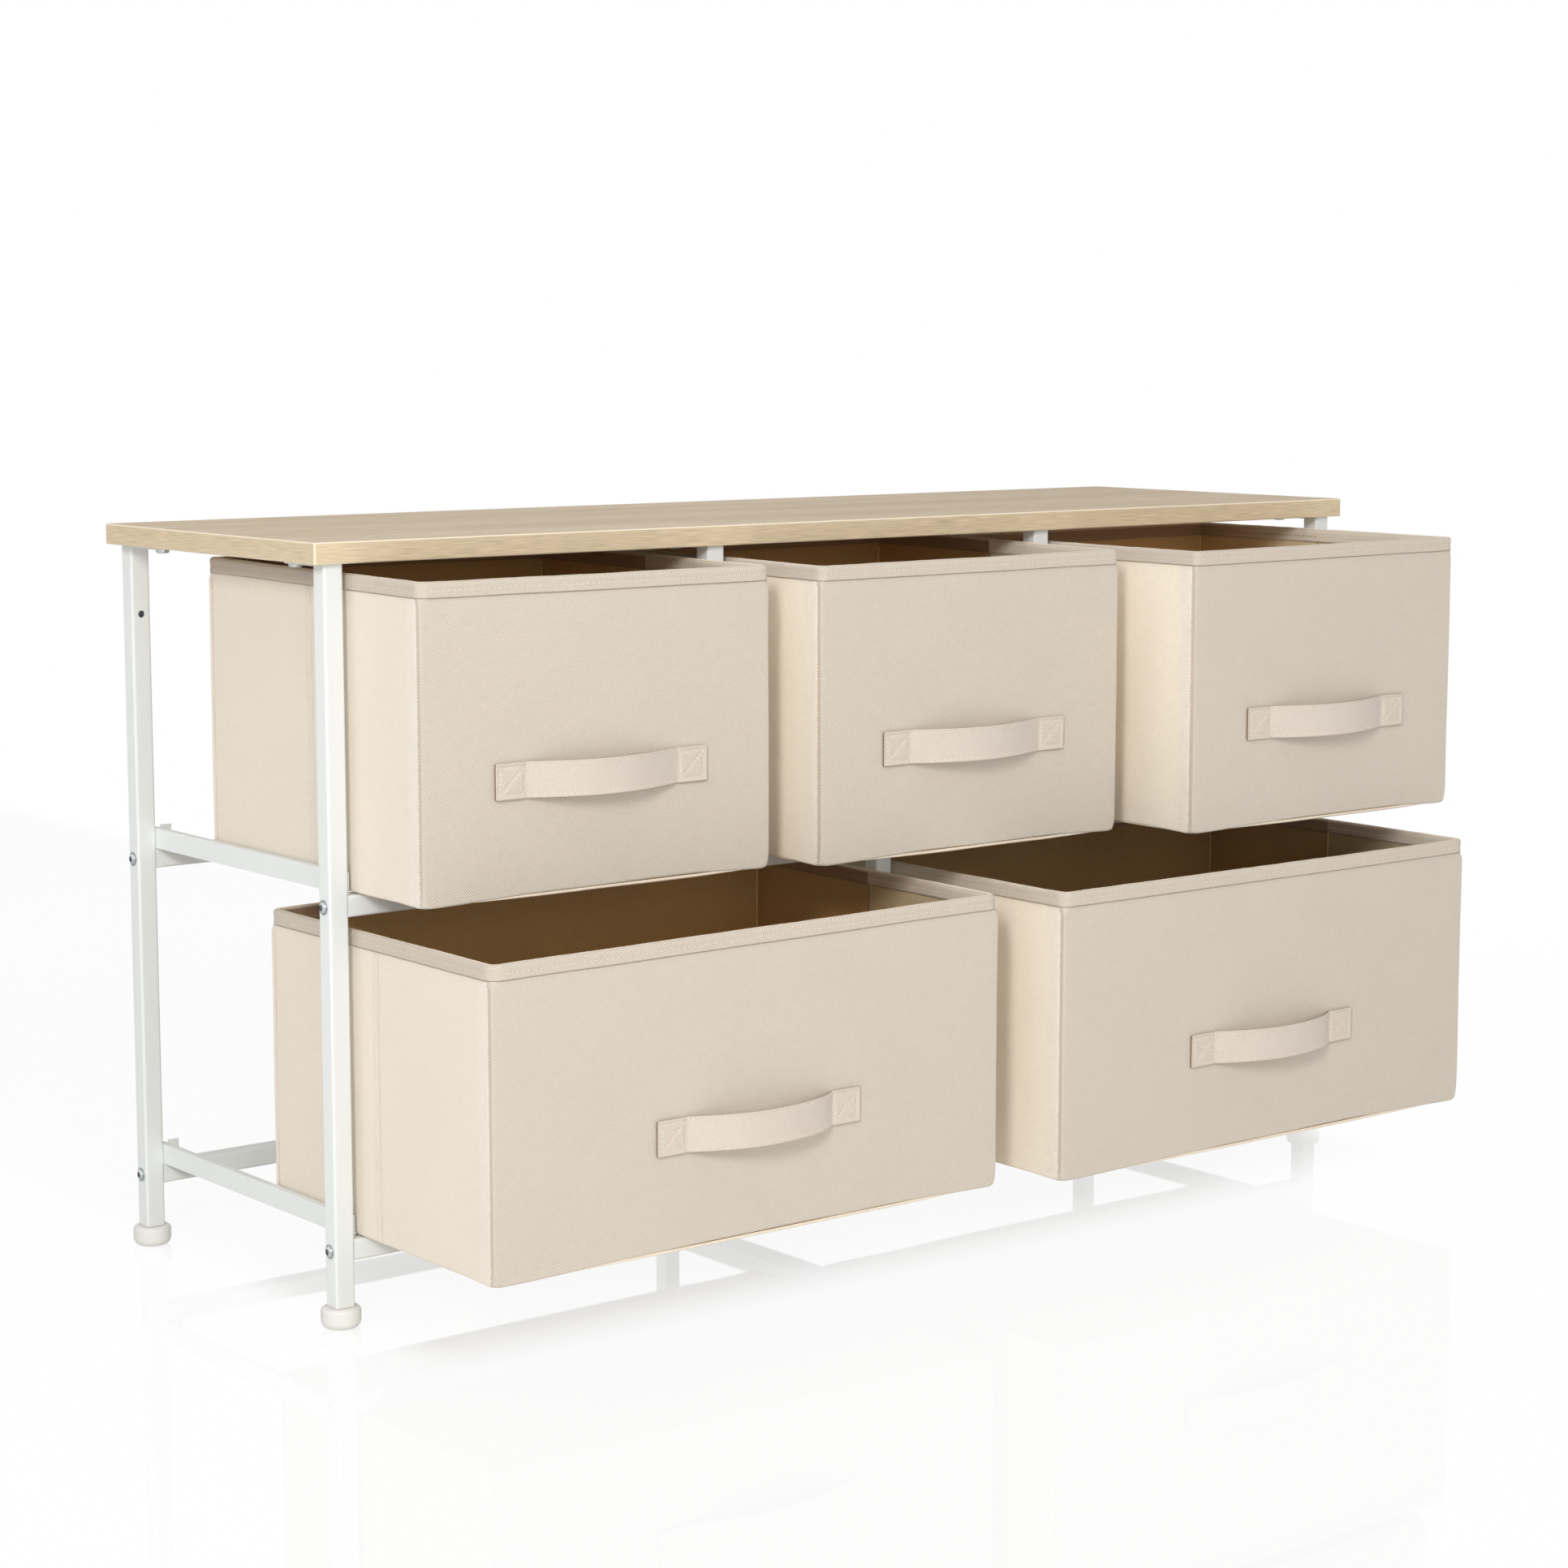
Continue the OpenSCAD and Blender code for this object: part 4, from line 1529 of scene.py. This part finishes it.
    def sew(self) -> None:
        """Sews the hem's stitches and the corner seams, outside and in."""
        sewing = Sewing([LIGHT_THREAD, SEAM_THREAD, GOLD_THREAD, SHADED_THREAD])
        bottom = self.hi.z - self.hem_height
        margin = self.rim_radius + 1 * MM
        height = bottom + self.hem_stitch
        for side in Side:
            start, along, inward = self.plan.axes(side)
            length = self.plan.length(side)
            out = self.hem_out + self.thread_out
            for inset, face in ((-out, -1), (self.wall + out, 1)):
                first = margin + max(inset, 0)
                stops = (first, length / 2, length - first)
                ends = [Vector((*(start + along * a + inward * inset), height)) for a in stops]
                for end in ends:
                    end.z += self.rise(end)
                for path in (ends[:2], ends[1:]):
                    rear = (path[0].y + path[1].y) / 2 > self.lo.y + self.middle
                    sewing.run(path, Vector((*(inward * face), 0)), HEM_STITCH, 3 if rear and face > 0 else 0)
        low = self.lo.z + self.lift + self.foot_height

        def upright(point: Vector, start: float, out: Vector, stitch: Stitch, thread: int) -> None:
            """Sews down a wall at a point of the plan."""
            sewing.run([Vector((*point, start)), Vector((*point, low))], Vector((*out, 0)), stitch, thread)

        for side in (Side.LEFT, Side.RIGHT):
            start, along, inward = self.plan.axes(side)
            for distance in (self.seam_behind, self.plan.length(side) - self.seam_behind):
                point = start + along * distance + inward * self.seam_in
                upright(point, bottom - 1 * MM, -inward, SEAM_STITCH, 1)
        for side in Side:
            start, along, inward = self.plan.axes(side)
            point = start + (along + inward) * (self.wall + self.corner_in)
            upright(point, bottom, along + inward, INNER_STITCH, 2)
        for side in (Side.LEFT, Side.RIGHT) if self.sewn_fold else ():
            start, along, inward = self.plan.axes(side)
            point = start + along * self.middle + inward * (self.wall + self.fold_in)
            upright(point, bottom, inward, INNER_STITCH, 2)
        sewing.finish("seams_" + self.name, self.body)

@dataclass
class Strap:
    """A strap handle: a folded band that bows out between two ends stitched flat."""

    name: str
    body: str
    front: float
    bow: float
    seed: int
    fullness: float = 2.6
    left_fullness: float = 2.6
    flatness: float = 0.7
    tab: float = 25.0 * MM
    end_in: float = 0.6 * MM
    thick: float = 1.3 * MM
    seated: float = 0.3 * MM
    double: float = 0.8 * MM
    roll: float = 1.6 * MM
    rolled: float = 0.35 * MM
    sag: float = 0.24 * MM
    drop: float = 0.6 * MM
    box_in: float = 3.2 * MM
    pressed: float = 0.6 * MM
    thread_out: float = 0.12 * MM
    edge_seam: float = 2.3 * MM
    edge_legs: int = 44
    waves: float = 40.0
    puff: float = 0.25 * MM
    step: float = 2.2 * MM
    fine_step: float = 0.75 * MM

    def __post_init__(self) -> None:
        """Reads the strap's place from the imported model."""
        lo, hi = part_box("handle_" + self.name)
        self.centre = (lo.x + hi.x) / 2
        self.half = (hi.x - lo.x) / 2 - self.end_in
        self.span = self.half - self.tab
        self.low = lo.z
        self.width = hi.z - lo.z

    def out(self, x: float) -> float:
        """Gives how far the strap's back stands out of the front.

        Args:
            x: the distance from the strap's middle.

        Returns:
            The distance out.
        """
        share = min(abs(x) / self.span, 1.0)
        arch = 1 - share ** (self.left_fullness if x < 0 else self.fullness)
        swing = (1 + math.cos(math.pi * share)) / 2
        return self.bow * (self.flatness * arch + (1 - self.flatness) * swing)

    def lines(self, way: int) -> list[tuple[tuple[float, float], tuple[float, float]]]:
        """Lays out the crossed box of stitches at one end.

        Args:
            way: -1 for the left end, 1 for the right one.

        Returns:
            Each line's first and last point, along and across the strap.
        """
        near = way * (self.span + self.box_in * 0.6)
        far = way * (self.half - self.box_in)
        low, high = self.box_in, self.width - self.box_in
        corners = ((near, low), (near, high), (far, high), (far, low))
        box = [(corners[turn], corners[(turn + 1) % 4]) for turn in range(4)]
        return box + [(corners[0], corners[2]), (corners[1], corners[3])]

    def press(self, x: float, across: float) -> float:
        """Tells how much the stitches at the ends pull the band in.

        Args:
            x: the distance from the strap's middle.
            across: the distance up from its lower edge.

        Returns:
            The share, from 0 to 1.
        """
        if abs(x) < self.span:
            return 0.0
        here = Vector((x, across))
        gaps = []
        for first, last in self.lines(1 if x > 0 else -1):
            nearest, share = intersect_point_line(here, first, last)
            if 0 <= share <= 1:
                gaps.append((here - nearest.xy).length)
        return peak(min(gaps), 0.0, 0.8 * MM) if gaps else 0.0

    def surface(self, x: float, across: float) -> Vector:
        """Finds a point on the strap's outer face.

        Args:
            x: the distance from the strap's middle.
            across: the distance up from its lower edge.

        Returns:
            The point.
        """
        out = self.out(x)
        at_tab = ease(self.span, self.span + 3 * MM, abs(x))
        edge = min(across, self.width - across)
        rolled = self.rolled * ease(self.roll, 0.6 * self.roll, edge) * ease(0.0, 0.25 * self.roll, edge)
        depth = out + self.thick + at_tab * self.double + rolled - self.pressed * self.press(x, across)
        sag = self.sag * (1 - at_tab) * math.sin(math.pi * across / self.width)
        height = self.low + across - self.drop * out / self.bow
        return Vector((self.centre + x, self.front - depth + sag, height))

    def build(self) -> None:
        """Builds the band and its stitches."""
        bm = bmesh.new()
        cloth = bm.loops.layers.uv.new(CLOTH_MAP)
        span = self.span
        ends, middle = round(self.tab / self.fine_step), round(2 * span / self.step)
        edges = spread(-self.half, -span, ends)[:-1]
        along = edges + spread(-span, span, middle) + [-x for x in reversed(edges)]
        rows = round(self.width / self.fine_step)
        bmesh.ops.create_grid(bm, x_segments=len(along) - 1, y_segments=rows, size=1.0)
        for vert in bm.verts:
            place = round((vert.co.x + 1) / 2 * (len(along) - 1))
            vert.co = (along[place], (vert.co.y + 1) / 2 * self.width, 0.0)
        for face in bm.faces:
            face.material_index = 2 if abs(face.calc_center_median().x) > span else 0
            for loop in face.loops:
                loop[cloth].uv = (loop.vert.co.x, loop.vert.co.y)
        for vert in bm.verts:
            puff = noise.noise(Vector((*(vert.co.xy * self.waves), self.seed))) * self.puff
            vert.co = self.surface(vert.co.x, vert.co.y) + Vector((0, -puff, puff * 0.5))
        turn_outwards(bm, Vector((0, -1, 0)))
        # the band's edges take the painted shadow
        cloths = [STRAP_CLOTH, STRAP_EDGE_SHADE, STRAP_END, STRAP_EDGE_SHADE]
        piece = finish_mesh(bm, "strap_band_" + self.name, cloths, self.body)
        thicken(piece, self.thick + self.seated, rim=1)
        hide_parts("handle_" + self.name)
        self.sew()

    def sew(self) -> None:
        """Sews the long edges and the crossed boxes at the ends."""
        sewing = Sewing([LIGHT_THREAD])
        out = Vector((0.0, -1.0, 0.0))

        def stitch_line(points: Sequence[tuple[float, float]]) -> None:
            """Sews through points given along and across the strap."""
            path = [self.surface(x, across) + out * self.thread_out for x, across in points]
            sewing.run(path, out, STRAP_STITCH)

        for across in (self.edge_seam, self.width - self.edge_seam):
            stitch_line([(x, across) for x in spread(-self.span, self.span, self.edge_legs)])
        for way in (-1, 1):
            for first, last in self.lines(way):
                stitch_line([first, last])
        sewing.finish("strap_stitches_" + self.name, self.body)


# ---- Frame ----


@dataclass
class SteelFrame:
    """The white tube frame, its plastic parts and its fasteners, which keep their modelled shapes."""

    coated: tuple[str, ...] = ("leg_front", "leg_back", "rail_front", "rail_back", "post_lower", "post_upper",
                               "guide", "rear_stop", "board_tabs")
    moulded: tuple[str, ...] = ("foot_", "leg_inserts", "post_plugs")
    plated: tuple[str, ...] = ("frame_bolts", "rail_end_nuts", "board_screws")
    head_radius: float = 5.25 * MM

    def build(self) -> None:
        """Dresses every node of the frame and the feet."""
        dressings = ((self.coated, WHITE_COAT), (self.moulded, WHITE_PLASTIC), (self.plated, ZINC_PLATE))
        for starts, finish in dressings:
            nodes = [node for node in sorted(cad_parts) if node.startswith(starts)]
            for node in nodes:
                dress(node, finish)
            log.info("%s: %d nodes of the frame", finish.name, len(nodes))
        self.mark_heads()

    def mark_heads(self) -> None:
        """Notes how near each point of the bolts is to its bolt's axis: 1 on it and 0 at the head's rim."""
        axes = [sum(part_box("rail_" + rail), Vector()).yz / 2
                for rail in ("front_lower", "front_middle", "back_lower", "back_middle")]
        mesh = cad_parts["frame_bolts"].data
        near = mesh.attributes.new(NEAR_AXIS, "FLOAT", "POINT")
        for item, vert in zip(near.data, mesh.vertices):
            item.value = max(0.0, 1.0 - min((vert.co.yz - axis).length for axis in axes) / self.head_radius)


@dataclass
class TopBoard:
    """The oak-grain top board."""

    early: Colour = tone(209, 191, 165)
    late: Colour = tone(196, 175, 145)
    pore: Colour = tone(158, 135, 104)
    # pale tone of the painted highlight on the board's rounded edges
    edge_highlight: Colour = tone(255, 243, 222)
    end_grain: Colour = tone(224, 206, 173)

    def build(self) -> None:
        """Dresses the board."""
        lo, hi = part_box("top_board")
        tones = (self.early, self.late, self.pore, self.edge_highlight, self.end_grain)
        dress("top_board", Oak("oak_laminate", "oak_board", *tones, tuple(lo), tuple(hi)))
        log.info("top board dressed")


# ---- Studio ----


@dataclass(frozen=True)
class Lamp:
    """A soft lamp that faces the dresser."""

    name: str
    place: tuple[float, float, float]
    width: float
    height: float
    watts: float
    colour: tuple[float, float, float] = (1.0, 0.99, 0.975)
    target: tuple[float, float, float] = (0.0, 0.0, 0.28)

    def add(self) -> None:
        """Adds the lamp to the scene."""
        light = bpy.data.lights.new(self.name, "AREA")
        light.shape = "RECTANGLE"
        light.size, light.size_y = self.width, self.height
        light.energy = self.watts
        light.color = self.colour
        lamp = bpy.data.objects.new(self.name, light)
        lamp.location = self.place
        lamp.rotation_euler = (Vector(self.target) - Vector(self.place)).to_track_quat("-Z", "Y").to_euler()
        bpy.context.scene.collection.objects.link(lamp)


@dataclass
class Studio:
    """The floor, the lamps, the world and the camera."""

    lamps: tuple[Lamp, ...] = (
        Lamp("key", (-2.62, -2.17, 1.9), width=0.5, height=0.9, watts=59.0),
        Lamp("low", (-1.3, -3.4, 0.8), width=1.4, height=1.0, watts=20.0),
        Lamp("fill", (1.5, -3.4, 1.6), width=2.4, height=2.4, watts=15.0, colour=(1.0, 0.98, 0.955)),
        Lamp("over", (-0.6, -0.2, 2.5), width=2.0, height=1.6, watts=9.0, colour=(1.0, 1.0, 1.0)),
    )
    lens: float = 77.23
    camera_place: tuple[float, float, float] = (-1.6422, -1.9983, 0.6785)
    azimuth: float = -38.3293
    elevation: float = 7.5677
    floor_size: float = 14.0
    ambient: float = 0.42

    def build(self) -> None:
        """Sets the whole stage."""
        bpy.context.scene.view_settings.view_transform = "Standard"
        self.build_floor()
        self.build_world()
        for lamp in self.lamps:
            lamp.add()
        self.add_camera()
        log.info("studio: %d lamps", len(self.lamps))

    def build_floor(self) -> None:
        """Builds the pale floor, which keeps a faint shadow and reflection."""
        bm = bmesh.new()
        bmesh.ops.create_grid(bm, x_segments=1, y_segments=1, size=self.floor_size / 2)
        mesh = bpy.data.meshes.new("floor")
        bm.to_mesh(mesh)
        bm.free()
        mesh.materials.append(self.floor_material())
        floor = bpy.data.objects.new("floor", mesh)
        bpy.context.scene.collection.objects.link(floor)

    def floor_material(self) -> bpy.types.Material:
        """Makes the floor's material.

        Returns:
            A white material, with a share left near the dresser for shadow and reflection.
        """
        material = bpy.data.materials.new("studio_floor")
        material.use_nodes = True
        graph = Graph(material.node_tree)
        x, y, _ = graph.split(graph.place())
        before = y.rise(-0.19, -0.07) * abs(x).rise(0.5, 0.44)
        near = before * 0.3 + (x * x + y * y).root().rise(1.6, 0.8) * 0.07
        seen = graph.rays("Camera")[0]
        matte = graph.add("ShaderNodeBsdfDiffuse", {}, {"Color": tone(246, 246, 245)})
        gloss = graph.add("ShaderNodeBsdfGlossy", {}, {"Color": WHITE, "Roughness": 0.03})
        shown = graph.mix(near, graph.white("ShaderNodeEmission"), graph.mix(0.8, matte, gloss))
        final = graph.mix(seen, matte, shown)
        graph.add("ShaderNodeOutputMaterial", {}, {"Surface": final.outputs[0]})
        return material

    def build_world(self) -> None:
        """Lights the stage evenly, and shows white to the camera and in gloss."""
        world = bpy.data.worlds.new("studio")
        world.use_nodes = True
        bpy.context.scene.world = world
        graph = Graph(world.node_tree)
        seen, gloss, through = graph.rays("Camera", "Glossy", "Transmission")
        soft = graph.white("ShaderNodeBackground", self.ambient)
        mixed = graph.mix((seen + gloss + through).most(1.0), soft, graph.white("ShaderNodeBackground"))
        graph.add("ShaderNodeOutputWorld", {}, {"Surface": mixed.outputs[0]})

    def add_camera(self) -> None:
        """Adds the camera."""
        data = bpy.data.cameras.new("camera")
        data.lens = self.lens
        data.sensor_width = 36.0
        camera = bpy.data.objects.new("camera", data)
        camera.location = self.camera_place
        camera.rotation_euler = (math.radians(90 - self.elevation), 0.0, math.radians(self.azimuth))
        bpy.context.scene.collection.objects.link(camera)
        bpy.context.scene.camera = camera


def drawers() -> list[FabricDrawer]:
    """Lists the drawers.

    Returns:
        The five drawers, with what sets each one apart.
    """
    # Each drawer's inside level, pale sides and daylight paint its own light and shade.
    return [
        FabricDrawer("upper_left", 0, cut_cloths("upper_left", 1.0, False, 1.2, Daylight(0.5)),
                     (1.6 * MM, 0.7 * MM, 2.5 * MM, 4.0 * MM), rim_radius=6 * MM, bow=14 * MM, fullness=2.2),
        FabricDrawer("upper_middle", 1, cut_cloths("upper_middle", 1.0, True, 1.2, Daylight(0.85)),
                     (0.0, 0.0, 3.8 * MM, 1.0 * MM), rim_radius=5 * MM, bow=14 * MM, fullness=2.4),
        FabricDrawer("upper_right", 2, cut_cloths("upper_right", 0.65, True, 1.3, Daylight(1.0, 300 * MM)),
                     (0.0, 0.5 * MM, 0.5 * MM, 0.0), rim_radius=4 * MM, bow=14.5 * MM),
        FabricDrawer("lower_left", 3, cut_cloths("lower_left", 0.65, False, 1.06, Daylight(0.5)),
                     (0.0, 2.0 * MM, 2.5 * MM, 0.0), rim_radius=8 * MM, bow=17 * MM, fullness=4.2),
        FabricDrawer("lower_right", 4, cut_cloths("lower_right", 0.5, True, 0.84, Daylight(0.35)),
                     (0.8 * MM, 0.0, 0.0, 0.5 * MM), rim_radius=7 * MM, bow=16.5 * MM, fullness=4.2,
                     sewn_fold=True),
    ]


def main() -> None:
    """Builds the dresser's looks and its stage."""
    logging.basicConfig(level=logging.INFO, format="%(relativeCreated)7d ms  %(message)s")
    Studio().build()
    TopBoard().build()
    SteelFrame().build()
    for drawer in drawers():
        drawer.build()


if __name__ == "__main__":
    main()
